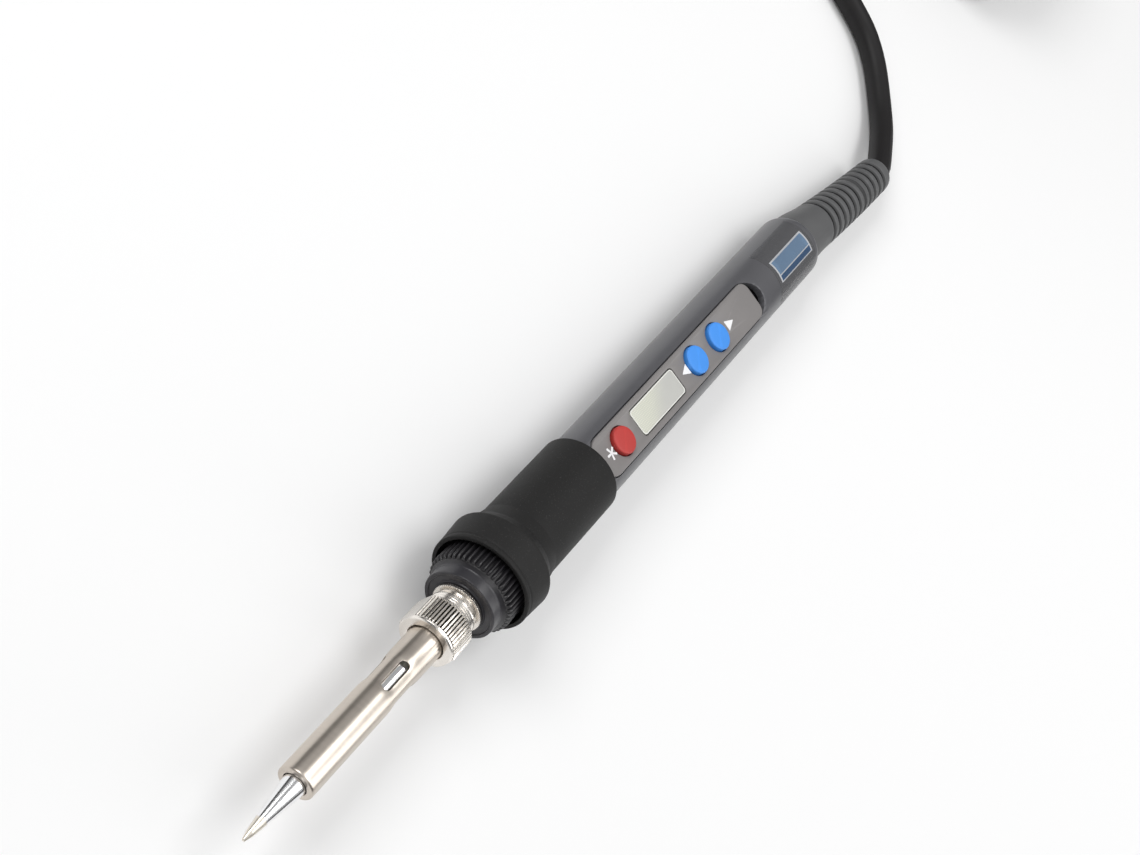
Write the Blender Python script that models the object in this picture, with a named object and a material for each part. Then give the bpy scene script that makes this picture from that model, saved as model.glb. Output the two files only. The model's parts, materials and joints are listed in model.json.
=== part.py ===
"""Hand-held digital soldering iron with its mains cord and plug.

Everything is in metres, +Z up, and the iron lies on the plane Z = 0 as it would on a bench. Its pieces are
modelled in the iron's own frame, under the empty called iron: +X runs along the axis to the nose, the control
panel faces +Z, and the origin is on the axis at the front face of the collar. The empty then tips and lifts
them so that the sleeve's flange and the housing's rear edge touch the bench.
"""

import math

import bmesh
import bpy
from mathutils import Matrix, Vector

MM = 0.001
GAP = 0.3 * MM  # between two pieces that touch
ROUND = 36  # sides of a large round piece
MEDIUM_ROUND = 24
SMALL_ROUND = 16  # sides of a small round piece

# Barrel, a thin tube with vent slots
BARREL_RADIUS = 4.25 * MM
BARREL_WALL = 0.35 * MM
BARREL_FRONT = 57.3 * MM
BARREL_LIP_WIDTH = 1.3 * MM
BARREL_LIP_HOLE = BARREL_RADIUS - BARREL_LIP_WIDTH
BARREL_FLANGE_RADIUS = 5.45 * MM
BARREL_FLANGE_LENGTH = 0.8 * MM
SLOT_COUNT = 4
SLOT_LENGTH = 8.4 * MM
SLOT_WIDTH = 2.4 * MM
SLOT_CENTRE = 26.3 * MM
SLOT_TURN = 13.0  # degrees, from the panel's side toward -Y

# Soldering tip and heater
TIP_REACH = 15.7 * MM  # how far the tip stands out of the barrel
TIP_END_RADIUS = 0.32 * MM
TIP_SHANK_LENGTH = 33.5 * MM  # inside the barrel
TIP_WALL = 1.05 * MM  # with the clearance round the heater
HEATER_RADIUS = BARREL_LIP_HOLE - TIP_WALL
HEATER_BASE_RADIUS = 4.3 * MM
HEATER_BASE_LENGTH = 11.7 * MM

# Nut and ferrule
NUT_RADIUS = 7.1 * MM
NUT_LENGTH = 7.7 * MM
NUT_REAR = 5.2 * MM
NUT_FRONT_WALL = 1.4 * MM
NUT_HOLE_RADIUS = 5.08 * MM
NUT_BARS = 54
NUT_BAR_HEIGHT = 0.35 * MM
NUT_FLAT_DEPTH = 0.75 * MM
THREAD_RADIUS = 5.6 * MM
FERRULE_FLANGE_RADIUS = 6.15 * MM
FERRULE_FLANGE_LENGTH = 0.7 * MM
FERRULE_NECK_RADIUS = 4.9 * MM
FERRULE_NECK_LENGTH = 1.5 * MM
FERRULE_BORE = 3.0 * MM
SPIGOT_RADIUS = 5.0 * MM
SPIGOT_LENGTH = 2.0 * MM

# Front collar
COLLAR_DISC_RADIUS = 8.9 * MM
COLLAR_STEP_LENGTH = 2.9 * MM
TOOTH_COUNT = 48
TOOTH_TIP_RADIUS = 10.6 * MM
TOOTH_ROOT_RADIUS = 9.75 * MM
TOOTH_FRONT = -3.7 * MM
TOOTH_REAR = -11.4 * MM
COLLAR_SHOULDER = -20.0 * MM  # where the housing starts
COLLAR_TAIL_LENGTH = 10.0 * MM
COLLAR_LEAD_BORE = 3.3 * MM

# Rubber grip sleeve
SLEEVE_FRONT = -8.1 * MM
SLEEVE_LIP_RADIUS = 12.6 * MM
SLEEVE_LIP_HOLE = 11.7 * MM
SLEEVE_LIP_DEPTH = 4.3 * MM
SLEEVE_FLANGE_RADIUS = 13.05 * MM
SLEEVE_FLANGE_REAR = -16.4 * MM
FLANGE_EDGE = 0.9 * MM  # how far its rear edge is rounded
SLEEVE_CONE_REAR = -21.5 * MM
SLEEVE_TUBE_RADIUS = 10.3 * MM
SLEEVE_REAR = -51.0 * MM

# Handle housing
HOUSING_RADIUS = 9.2 * MM
HOUSING_WALL = 2.0 * MM
HOUSING_REAR = -167.0 * MM
HOUSING_EDGE_ROUND = 1.3 * MM
HOUSING_END_WALL = 2.5 * MM
RAIL_REACH = 1.3 * MM  # board rails stand this far in from the housing's bore
RAIL_HEIGHT = 1.2 * MM

# Control panel
PANEL_FRONT = -49.7 * MM
PANEL_HALF_WIDTH = 5.25 * MM
PANEL_TOP = 8.1 * MM
PANEL_THICKNESS = 1.2 * MM
PANEL_REAR_CORNER = 2.8 * MM
PANEL_OPENING_HALF_WIDTH = 4.6 * MM
NOTCH_REACH = 2.1 * MM  # thumbnail space behind the panel
WINDOW_LENGTH = 20.7 * MM
WINDOW_HALF_WIDTH = 3.45 * MM
WINDOW_CORNER = 1.1 * MM
WINDOW_DROP = 0.15 * MM
WINDOW_THICKNESS = 0.8 * MM

# Push buttons and the window, set out one after another from the panel's front
POWER_RADIUS = 3.55 * MM
ARROW_RADIUS = 3.75 * MM
POWER_STATION = PANEL_FRONT - 11.4 * MM
WINDOW_FRONT = POWER_STATION - POWER_RADIUS - 3.85 * MM
WINDOW_REAR = WINDOW_FRONT - WINDOW_LENGTH
DOWN_STATION = WINDOW_REAR - 5.35 * MM - ARROW_RADIUS
UP_STATION = DOWN_STATION - 2 * ARROW_RADIUS - 4.2 * MM
PANEL_REAR = UP_STATION - ARROW_RADIUS - 17.85 * MM
BUTTONS = (
    ("power", POWER_STATION, POWER_RADIUS),
    ("down", DOWN_STATION, ARROW_RADIUS),
    ("up", UP_STATION, ARROW_RADIUS),
)
BUTTON_RISE = 1.0 * MM  # cap's rim above the panel
BUTTON_DOME = 0.35 * MM
BUTTON_TRAVEL = 0.5 * MM
BUTTON_FLANGE = 0.45 * MM
BUTTON_FLANGE_THICKNESS = 0.7 * MM
PLUNGER_RADIUS = 1.1 * MM
PLUNGER_LENGTH = 1.6 * MM
SWITCH_SIDE = 5.2 * MM
SWITCH_HEIGHT = 2.5 * MM

# Circuit board and what is on it
BOARD_FRONT = -34.0 * MM
BOARD_REAR = HOUSING_REAR + 23.0 * MM
BOARD_HALF_WIDTH = 6.0 * MM
BOARD_TOP = 1.6 * MM
BOARD_THICKNESS = 1.2 * MM
DISPLAY_HALF_WIDTH = 4.1 * MM
TRIAC_CENTRE = -46.0 * MM
CHIP_CENTRE = UP_STATION - 11.0 * MM
CAPACITOR_CENTRE = CHIP_CENTRE - 12.0 * MM
CAPACITOR_RADIUS = 2.4 * MM
CAPACITOR_LENGTH = 10.0 * MM
LEAD_RADIUS = 0.55 * MM
LEAD_SPREAD = 1.6 * MM  # distance from the axis
WIRE_RADIUS = 0.9 * MM

# Collar screws
SCREW_RADIUS = 0.8 * MM
SCREW_HEAD_RADIUS = 1.6 * MM
SCREW_HEAD_LENGTH = 0.8 * MM
SCREW_STATION = -25.0 * MM

# Strain-relief boot, measured along its own bent centre line from the housing's rear face
BOOT_LENGTH = 53.2 * MM
BOOT_BASE_RADIUS = 8.0 * MM
BOOT_WAIST = 13.4 * MM  # where the grooves start
BOOT_WAIST_RADIUS = 6.95 * MM
BOOT_END_RADIUS = 5.45 * MM
BOOT_GROOVES = 11
BOOT_GROOVE_DEPTH = 1.25 * MM
BOOT_GROOVE_SHARE = 0.42
BOOT_LEAN = 0.125  # sideways slope near the housing
BOOT_BEND_START = 6.0 * MM  # where it has taken up that slope
BOOT_STRAIGHTENING = 0.66  # per metre, how fast the lean is taken back
BOOT_NECK_RADIUS = 5.2 * MM
BOOT_FLANGE_RADIUS = 6.6 * MM
BOOT_FLANGE_LENGTH = 1.4 * MM

# Cord and plug
CORD_RADIUS = 3.6 * MM
CORD_STOP_LENGTH = 3.0 * MM
CORD_STOP_RADIUS = 5.6 * MM
CORD_INNER_LENGTH = 12.0 * MM  # reach into the housing past its end wall
ROUTE_SHIFT = HOUSING_REAR + 167.0 * MM  # how far a longer or shorter housing moves the cord along X
ROUTE = (  # the cord's centre line on the bench, from past the boot to the hank
    (-0.1585, 0.0013, 0.0062),
    (-0.1672, -0.0026, 0.0048),
    (-0.1738, -0.0069, 0.0039),
    (-0.1794, -0.0119, 0.0037),
    (-0.1844, -0.0170, 0.0037),
    (-0.1885, -0.0225, 0.0037),
    (-0.1916, -0.0287, 0.0037),
    (-0.1932, -0.0357, 0.0037),
    (-0.1950, -0.0470, 0.0037),
    (-0.1995, -0.0560, 0.0037),
    (-0.2070, -0.0630, 0.0037),
    (-0.2165, -0.0673, 0.0037),
    (-0.2275, -0.0689, 0.0040),
    (-0.2400, -0.0692, 0.0044),
    (-0.2500, -0.0692, 0.0047),
    (-0.2604, -0.0692, 0.0047),
)
HANK_NEAR = -0.2490 + ROUTE_SHIFT
HANK_FAR = -0.3380 + ROUTE_SHIFT
HANK_LOW_SIDE = -0.0728
HANK_TURNS_ACROSS = 2
HANK_LAYERS = 3
HANK_FOLD_RADIUS = 3 * 2 * CORD_RADIUS
TIE_THICKNESS = 0.8 * MM
TIE_WIDTH = 9.0 * MM
PLUG_LENGTH = 30.0 * MM
PLUG_WIDTH = 25.0 * MM
PLUG_HEIGHT = 20.0 * MM
PLUG_REAR = -0.2885 + ROUTE_SHIFT
PLUG_CORNER = 6.0 * MM
PLUG_TAIL_LENGTH = 8.0 * MM
PLUG_TAIL_RADIUS = 7.5 * MM
BLADE_LENGTH = 17.5 * MM
BLADE_WIDTH = 6.3 * MM
BLADE_THICKNESS = 1.5 * MM
BLADE_SPACING = 12.7 * MM
BLADE_HEIGHT = 4.8 * MM  # above the plug's axis
EARTH_RADIUS = 2.4 * MM
EARTH_LENGTH = 20.5 * MM
EARTH_DROP = 11.9 * MM  # below the blades


def clear_scene():
    for obj in list(bpy.data.objects):
        bpy.data.objects.remove(obj, do_unlink=True)


def material(name, colour, roughness, metallic=0.0):
    made = bpy.data.materials.new(name)
    made.use_nodes = True
    shader = made.node_tree.nodes["Principled BSDF"]
    shader.inputs["Base Color"].default_value = (*colour, 1.0)
    shader.inputs["Roughness"].default_value = roughness
    shader.inputs["Metallic"].default_value = metallic
    return made


def object_from(bm, name, finish, parent=None, place=(0, 0, 0)):
    """The bmesh as an object with its own material, its faces pointing out."""
    bmesh.ops.remove_doubles(bm, verts=bm.verts, dist=1e-7)
    bmesh.ops.dissolve_degenerate(bm, edges=bm.edges, dist=1e-7)
    bmesh.ops.recalc_face_normals(bm, faces=bm.faces)
    mesh = bpy.data.meshes.new(name)
    bm.to_mesh(mesh)
    bm.free()
    mesh.shade_smooth()
    mesh.set_sharp_from_angle(angle=math.radians(35))
    mesh.materials.append(finish)
    obj = bpy.data.objects.new(name, mesh)
    obj.location = place
    obj.parent = parent
    bpy.context.scene.collection.objects.link(obj)
    return obj


def ring(bm, matrix, radius, sides):
    """A ring of vertices round matrix's X axis, the first one on its +Z side."""
    turns = (2 * math.pi * i / sides for i in range(sides))
    return [bm.verts.new(matrix @ Vector((0, radius * math.sin(a), radius * math.cos(a)))) for a in turns]


def turned(name, profile, finish, parent, sides=ROUND, place=(0, 0, 0), frame_at=None):
    """A solid turned round X from (x, radius) points. A profile that doesn't end on the axis closes on itself."""
    frame_at = frame_at or (lambda x: Matrix.Translation((x, 0, 0)))
    bm = bmesh.new()
    rings = []
    for x, radius in profile:
        if radius > 0:
            rings.append(ring(bm, frame_at(x), radius, sides))
        else:
            rings.append([bm.verts.new(frame_at(x) @ Vector((0, 0, 0)))] * sides)
    if profile[0][1] > 0:
        rings.append(rings[0])
    for first, second in zip(rings, rings[1:]):
        for i in range(sides):
            corners = dict.fromkeys((first[i], first[i - 1], second[i - 1], second[i]))
            if len(corners) > 2:
                bm.faces.new(tuple(corners))
    return object_from(bm, name, finish, parent, place)


def prism(name, outline, bottom, top, finish, parent, axis="Z", place=(0, 0, 0)):
    """An outline of (a, b) points extruded along an axis, from bottom to top."""
    bm = bmesh.new()
    order = {"Z": lambda a, b, h: (a, b, h), "X": lambda a, b, h: (h, a, b), "Y": lambda a, b, h: (b, h, a)}
    low = [bm.verts.new(order[axis](a, b, bottom)) for a, b in outline]
    face = bm.faces.new(low)
    moved = bmesh.ops.extrude_face_region(bm, geom=[face])
    shift = Vector(order[axis](0, 0, top - bottom))
    corners = [part for part in moved["geom"] if isinstance(part, bmesh.types.BMVert)]
    bmesh.ops.translate(bm, verts=corners, vec=shift)
    return object_from(bm, name, finish, parent, place)


def block(name, low, high, finish, parent):
    outline = ((low[0], low[1]), (high[0], low[1]), (high[0], high[1]), (low[0], high[1]))
    return prism(name, outline, low[2], high[2], finish, parent)


def arc(centre, radius, start, end, steps):
    """Points on an arc, with its angles in degrees."""
    turns = (math.radians(start + (end - start) * i / steps) for i in range(steps + 1))
    return [(centre[0] + radius * math.cos(a), centre[1] + radius * math.sin(a)) for a in turns]


def rounded_rectangle(low, high, radius, steps=4):
    corners = (
        ((high[0] - radius, high[1] - radius), 0),
        ((low[0] + radius, high[1] - radius), 90),
        ((low[0] + radius, low[1] + radius), 180),
        ((high[0] - radius, low[1] + radius), 270),
    )
    return [point for centre, start in corners for point in arc(centre, radius, start, start + 90, steps)]


def stadium(front, rear, half_width, steps=10):
    """A long outline with round ends, front to rear along X."""
    nose = arc((front - half_width, 0), half_width, -90, 90, steps)
    return nose + arc((rear + half_width, 0), half_width, 90, 270, steps)


def cutter(obj):
    obj.hide_render = True
    obj.display_type = "WIRE"
    return obj


def combine(obj, other, operation="DIFFERENCE"):
    change = obj.modifiers.new(f"{operation.lower()}_{other.name}", "BOOLEAN")
    change.operation = operation
    change.solver = "EXACT"
    change.object = cutter(other)


def tube(name, points, radius, finish, parent=None, resolution=2):
    """A round wire or cord along points, with filled ends."""
    curve = bpy.data.curves.new(name, "CURVE")
    curve.dimensions = "3D"
    curve.bevel_depth = radius
    curve.bevel_resolution = resolution
    curve.use_fill_caps = True
    line = curve.splines.new("POLY")
    line.points.add(len(points) - 1)
    for point, place in zip(line.points, points):
        point.co = (*place, 1.0)
    curve.materials.append(finish)
    obj = bpy.data.objects.new(name, curve)
    obj.parent = parent
    bpy.context.scene.collection.objects.link(obj)
    return obj


def smooth_line(points, spacing):
    """Evenly spaced points on a Catmull-Rom curve through the given ones."""
    places = [Vector(point) for point in points]
    ends = [2 * places[0] - places[1]] + places + [2 * places[-1] - places[-2]]
    dense = []
    steps = 24
    for before, start, end, after in zip(ends, ends[1:], ends[2:], ends[3:]):
        for i in range(steps):
            t = i / steps
            dense.append(
                0.5
                * (
                    2 * start
                    + (end - before) * t
                    + (2 * before - 5 * start + 4 * end - after) * t**2
                    + (3 * start - before - 3 * end + after) * t**3
                )
            )
    dense.append(places[-1])
    lengths = [0.0]
    for first, second in zip(dense, dense[1:]):
        lengths.append(lengths[-1] + (second - first).length)
    count = max(2, round(lengths[-1] / spacing))
    line = []
    at = 0
    for i in range(count + 1):
        wanted = lengths[-1] * i / count
        while at < len(dense) - 2 and lengths[at + 1] < wanted:
            at += 1
        share = (wanted - lengths[at]) / (lengths[at + 1] - lengths[at])
        line.append(dense[at].lerp(dense[at + 1], share))
    return line


def make_finishes():
    return {
        "tip_steel": material("tip_steel", (0.62, 0.61, 0.60), 0.18, 1.0),
        "barrel_steel": material("barrel_steel", (0.56, 0.53, 0.50), 0.35, 1.0),
        "nickel": material("nickel", (0.78, 0.76, 0.72), 0.2, 1.0),
        "ceramic": material("ceramic", (0.85, 0.83, 0.78), 0.5),
        "collar_plastic": material("collar_plastic", (0.048, 0.047, 0.054), 0.45),
        "sleeve_rubber": material("sleeve_rubber", (0.026, 0.026, 0.025), 0.75),
        "housing_plastic": material("housing_plastic", (0.107, 0.108, 0.117), 0.45),
        "panel_plastic": material("panel_plastic", (0.25, 0.235, 0.23), 0.5),
        "window_plastic": material("window_plastic", (0.57, 0.57, 0.54), 0.25),
        "red_button": material("red_button", (0.48, 0.045, 0.038), 0.5),
        "blue_button": material("blue_button", (0.08, 0.35, 0.87), 0.5),
        "board": material("board", (0.02, 0.16, 0.07), 0.5),
        "switch_plastic": material("switch_plastic", (0.03, 0.03, 0.03), 0.5),
        "display_metal": material("display_metal", (0.5, 0.5, 0.5), 0.4, 1.0),
        "chip_plastic": material("chip_plastic", (0.02, 0.02, 0.02), 0.5),
        "capacitor_sleeve": material("capacitor_sleeve", (0.02, 0.04, 0.12), 0.4),
        "screw_steel": material("screw_steel", (0.5, 0.5, 0.5), 0.35, 1.0),
        "lead_sleeve": material("lead_sleeve", (0.7, 0.68, 0.62), 0.6),
        "live_wire": material("live_wire", (0.2, 0.06, 0.02), 0.5),
        "neutral_wire": material("neutral_wire", (0.03, 0.12, 0.5), 0.5),
        "earth_wire": material("earth_wire", (0.1, 0.4, 0.08), 0.5),
        "boot_rubber": material("boot_rubber", (0.137, 0.14, 0.144), 0.6),
        "cord_rubber": material("cord_rubber", (0.02, 0.019, 0.02), 0.55),
        "tie_plastic": material("tie_plastic", (0.03, 0.03, 0.03), 0.6),
        "plug_plastic": material("plug_plastic", (0.02, 0.02, 0.02), 0.5),
        "plug_brass": material("plug_brass", (0.75, 0.6, 0.35), 0.3, 1.0),
    }


def make_barrel(finish, iron):
    """The vented tube that holds the tip, with its rear flange inside the nut."""
    flange_front = NUT_REAR + NUT_LENGTH - NUT_FRONT_WALL - GAP
    flange_rear = flange_front - BARREL_FLANGE_LENGTH
    inner = BARREL_RADIUS - BARREL_WALL
    lip_round = 0.6 * MM
    profile = [
        (flange_rear, inner),
        (BARREL_FRONT - BARREL_WALL - lip_round / 2, inner),
        (BARREL_FRONT - BARREL_WALL, BARREL_LIP_HOLE + lip_round / 2),
        (BARREL_FRONT - BARREL_WALL, BARREL_LIP_HOLE),
        (BARREL_FRONT, BARREL_LIP_HOLE),
        (BARREL_FRONT, BARREL_RADIUS - lip_round),
        (BARREL_FRONT - 0.3 * lip_round, BARREL_RADIUS - 0.3 * lip_round),
        (BARREL_FRONT - lip_round, BARREL_RADIUS),
        (flange_front, BARREL_RADIUS),
        (flange_front, BARREL_FLANGE_RADIUS),
        (flange_rear, BARREL_FLANGE_RADIUS),
    ]
    barrel = turned("tip_barrel", profile, finish["barrel_steel"], iron)
    for i in range(SLOT_COUNT // 2):
        half = SLOT_LENGTH / 2
        outline = stadium(SLOT_CENTRE + half, SLOT_CENTRE - half, SLOT_WIDTH / 2, 6)
        reach = BARREL_RADIUS + 1 * MM
        slot = prism(f"slot_cutter_{i}", outline, -reach, reach, finish["barrel_steel"], iron)
        slot.rotation_euler.x = math.radians(SLOT_TURN) + 2 * math.pi * i / SLOT_COUNT
        combine(barrel, slot)
    return flange_rear


def make_tip(finish, iron):
    """The hollow tip, a shank held by the barrel's lip and a cone to a blunt end, and the rod that heats it."""
    shank = BARREL_RADIUS - BARREL_WALL - 0.65 * MM
    shoulder = BARREL_FRONT - BARREL_WALL - GAP
    rear = shoulder - TIP_SHANK_LENGTH
    end = BARREL_FRONT + TIP_REACH
    base = BARREL_LIP_HOLE - GAP
    bore = HEATER_RADIUS + GAP
    bore_end = BARREL_FRONT + 0.4 * TIP_REACH
    bore_end_radius = 0.5 * MM
    profile = [
        (end, 0),
        (end, 0.5 * TIP_END_RADIUS),
        (end - 0.5 * TIP_END_RADIUS, TIP_END_RADIUS),
        (end - 2 * MM, 0.88 * MM),
        (BARREL_FRONT + 0.5 * MM, base),
        (shoulder, base),
        (shoulder, shank),
        (rear, shank),
        (rear, bore),
        (shoulder, bore),
        (bore_end, bore_end_radius),
        (bore_end, 0),
    ]
    tip = turned("soldering_tip", profile, finish["tip_steel"], iron, MEDIUM_ROUND)
    seat = heater_seat()
    heater_end = shoulder - 1 * MM
    rod = [(seat, 0), (seat, HEATER_RADIUS), (heater_end, HEATER_RADIUS), (heater_end, 0)]
    turned("heater_rod", rod, finish["ceramic"], iron, SMALL_ROUND)
    return tip


def heater_seat():
    """Where the heater rod ends, inside its base."""
    return -SPIGOT_LENGTH - 4 * MM


def make_heater_base(finish, iron):
    """The ceramic plug that holds the heater rod inside the collar. Returns its rear face's station."""
    front = -SPIGOT_LENGTH - GAP
    rear = front - HEATER_BASE_LENGTH
    bore = HEATER_RADIUS + GAP
    seat = heater_seat() - GAP
    profile = [
        (seat, 0),
        (seat, bore),
        (front, bore),
        (front, HEATER_BASE_RADIUS),
        (rear, HEATER_BASE_RADIUS),
        (rear, 0),
    ]
    turned("heater_base", profile, finish["ceramic"], iron, SMALL_ROUND)
    return rear


def make_ferrule(finish, iron, barrel_rear):
    """The threaded ferrule fixed in the collar. Its thread is left plain, a gap smaller than the nut's bore."""
    flange_front = GAP + FERRULE_FLANGE_LENGTH
    neck_front = flange_front + FERRULE_NECK_LENGTH
    front = barrel_rear - GAP
    profile = [
        (-SPIGOT_LENGTH, FERRULE_BORE),
        (-SPIGOT_LENGTH, SPIGOT_RADIUS),
        (GAP, SPIGOT_RADIUS),
        (GAP, FERRULE_FLANGE_RADIUS),
        (flange_front, FERRULE_FLANGE_RADIUS),
        (flange_front, FERRULE_NECK_RADIUS),
        (neck_front, FERRULE_NECK_RADIUS),
        (neck_front, THREAD_RADIUS),
        (front, THREAD_RADIUS),
        (front, FERRULE_BORE),
    ]
    turned("threaded_ferrule", profile, finish["nickel"], iron, MEDIUM_ROUND)


def bar_ring(count, root, tip, flat_share):
    """An outline of bars round a circle: for each bar, two points on its top and two in the groove after it."""
    pitch = 2 * math.pi / count
    points = []
    for i in range(count):
        for share, radius in ((0, tip), (flat_share, tip), (flat_share + 0.12, root), (0.88, root)):
            angle = (i + share) * pitch
            points.append((radius * math.sin(angle), radius * math.cos(angle)))
    return points


def make_nut(finish, iron):
    """The knurled cap nut, with two wrench flats. Its origin is on the axis it turns on."""
    inner = THREAD_RADIUS + GAP
    wall = NUT_LENGTH - NUT_FRONT_WALL
    rim = 0.6 * MM
    root = NUT_RADIUS - NUT_BAR_HEIGHT
    profile = [
        (0, inner),
        (0, root - 0.3 * MM),
        (0.3 * MM, root),
        (NUT_LENGTH - rim, root),
        (NUT_LENGTH, root - rim),
        (NUT_LENGTH, NUT_HOLE_RADIUS),
        (wall, NUT_HOLE_RADIUS),
        (wall, inner),
    ]
    place = (NUT_REAR, 0, 0)
    nut = turned("barrel_nut", profile, finish["nickel"], iron, place=place)
    outline = bar_ring(NUT_BARS, root - 0.15 * MM, NUT_RADIUS, 0.55)
    bars = prism("nut_bars", outline, 0.8 * MM, NUT_LENGTH - rim, finish["nickel"], iron, "X", place)
    bore = prism(
        "nut_bar_bore", arc((0, 0), root - 0.5 * MM, 0, 351, 39), 0, NUT_LENGTH, finish["nickel"], iron, "X", place
    )
    combine(bars, bore)
    combine(nut, bars, "UNION")
    reach = NUT_RADIUS + 1 * MM
    flat = NUT_RADIUS - NUT_FLAT_DEPTH
    for side in (-1, 1):
        low = (0.8 * MM, min(side * flat, side * reach), -reach)
        high = (NUT_LENGTH + 1 * MM, max(side * flat, side * reach), reach)
        cut = block(f"nut_flat_{side}", low, high, finish["nickel"], iron)
        cut.location = place
        combine(nut, cut)


def make_collar(finish, iron, base_rear):
    """The toothed front collar. Its tail fits inside the housing, and screws hold it there."""
    bore = HEATER_BASE_RADIUS + GAP
    spigot = SPIGOT_RADIUS + GAP
    tail = HOUSING_RADIUS - HOUSING_WALL - GAP
    rear = COLLAR_SHOULDER - COLLAR_TAIL_LENGTH
    step_rear = -COLLAR_STEP_LENGTH
    profile = [
        (0, spigot),
        (0, COLLAR_DISC_RADIUS - 0.2 * MM),
        (-0.2 * MM, COLLAR_DISC_RADIUS),
        (step_rear, COLLAR_DISC_RADIUS),
        (TOOTH_FRONT, TOOTH_ROOT_RADIUS),
        (TOOTH_REAR, TOOTH_ROOT_RADIUS),
        (TOOTH_REAR, HOUSING_RADIUS),
        (COLLAR_SHOULDER + GAP, HOUSING_RADIUS),
        (COLLAR_SHOULDER + GAP, tail),
        (rear, tail),
        (rear, COLLAR_LEAD_BORE),
        (base_rear - GAP, COLLAR_LEAD_BORE),
        (base_rear - GAP, bore),
        (-SPIGOT_LENGTH - GAP, bore),
        (-SPIGOT_LENGTH - GAP, spigot),
    ]
    collar = turned("front_collar", profile, finish["collar_plastic"], iron)
    outline = bar_ring(TOOTH_COUNT, TOOTH_ROOT_RADIUS - 0.4 * MM, TOOTH_TIP_RADIUS, 0.4)
    teeth = prism(
        "collar_teeth", outline, TOOTH_REAR + 0.1 * MM, TOOTH_FRONT - 0.1 * MM, finish["collar_plastic"], iron, "X"
    )
    ring_bore = arc((0, 0), TOOTH_ROOT_RADIUS - 1.2 * MM, 0, 351, 39)
    hole = prism(
        "collar_teeth_bore", ring_bore, TOOTH_REAR - 1 * MM, TOOTH_FRONT + 1 * MM, finish["collar_plastic"], iron, "X"
    )
    combine(teeth, hole)
    combine(collar, teeth, "UNION")
    return collar


def make_sleeve(finish, iron):
    """The rubber grip with its flange, which the iron rests on."""
    bore = HOUSING_RADIUS + GAP
    recess_rear = SLEEVE_FRONT - SLEEVE_LIP_DEPTH
    edge = FLANGE_EDGE
    profile = [
        (SLEEVE_FRONT, SLEEVE_LIP_HOLE),
        (SLEEVE_FRONT, SLEEVE_LIP_RADIUS - 0.3 * MM),
        (SLEEVE_FRONT - 0.3 * MM, SLEEVE_LIP_RADIUS),
        (SLEEVE_FLANGE_REAR + edge, SLEEVE_FLANGE_RADIUS),
        (SLEEVE_FLANGE_REAR + 0.3 * edge, SLEEVE_FLANGE_RADIUS - 0.3 * edge),
        (SLEEVE_FLANGE_REAR, SLEEVE_FLANGE_RADIUS - edge),
        (SLEEVE_CONE_REAR + 1.5 * MM, SLEEVE_TUBE_RADIUS + 0.7 * MM),
        (SLEEVE_CONE_REAR, SLEEVE_TUBE_RADIUS),
        (SLEEVE_REAR + 0.6 * MM, SLEEVE_TUBE_RADIUS),
        (SLEEVE_REAR, SLEEVE_TUBE_RADIUS - 0.5 * MM),
        (SLEEVE_REAR, bore),
        (recess_rear, bore),
        (recess_rear, SLEEVE_LIP_HOLE),
    ]
    turned("grip_sleeve", profile, finish["sleeve_rubber"], iron)


def pocket_outline(clearance):
    """The panel's pocket: round at both ends, with thumbnail space behind the panel."""
    half = PANEL_HALF_WIDTH + clearance
    return stadium(PANEL_FRONT + clearance, PANEL_REAR - NOTCH_REACH, half)


def make_housing(finish, iron):
    """The round shell, cut open under the panel, with two rails for the circuit board."""
    bore = HOUSING_RADIUS - HOUSING_WALL
    end_hole = BOOT_NECK_RADIUS + GAP
    edge = HOUSING_EDGE_ROUND
    profile = [
        (COLLAR_SHOULDER, bore),
        (COLLAR_SHOULDER, HOUSING_RADIUS),
        (HOUSING_REAR + edge, HOUSING_RADIUS),
        (HOUSING_REAR + 0.3 * edge, HOUSING_RADIUS - 0.3 * edge),
        (HOUSING_REAR, HOUSING_RADIUS - edge),
        (HOUSING_REAR, end_hole),
        (HOUSING_REAR + HOUSING_END_WALL, end_hole),
        (HOUSING_REAR + HOUSING_END_WALL, bore),
    ]
    shell = turned("handle_housing", profile, finish["housing_plastic"], iron)
    top = PANEL_TOP - PANEL_THICKNESS - GAP
    reach = HOUSING_RADIUS + 1 * MM
    pocket = prism("panel_pocket", pocket_outline(0.35 * MM), top, reach, finish["housing_plastic"], iron)
    combine(shell, pocket)
    half = PANEL_OPENING_HALF_WIDTH
    opening = stadium(PANEL_FRONT - 2 * MM, PANEL_REAR + 2 * MM, half, 6)
    combine(shell, prism("panel_opening", opening, 0.5 * bore, reach, finish["housing_plastic"], iron))
    rail_top = BOARD_TOP - BOARD_THICKNESS - GAP
    wall_middle = HOUSING_RADIUS - 0.5 * HOUSING_WALL
    for side in (-1, 1):
        inner = side * (bore - RAIL_REACH)
        outer = side * math.sqrt(wall_middle**2 - (rail_top - RAIL_HEIGHT) ** 2)
        low = (BOARD_REAR, min(inner, outer), rail_top - RAIL_HEIGHT)
        high = (BOARD_FRONT, max(inner, outer), rail_top)
        combine(shell, block(f"board_rail_{side}", low, high, finish["housing_plastic"], iron), "UNION")
    return shell


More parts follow.
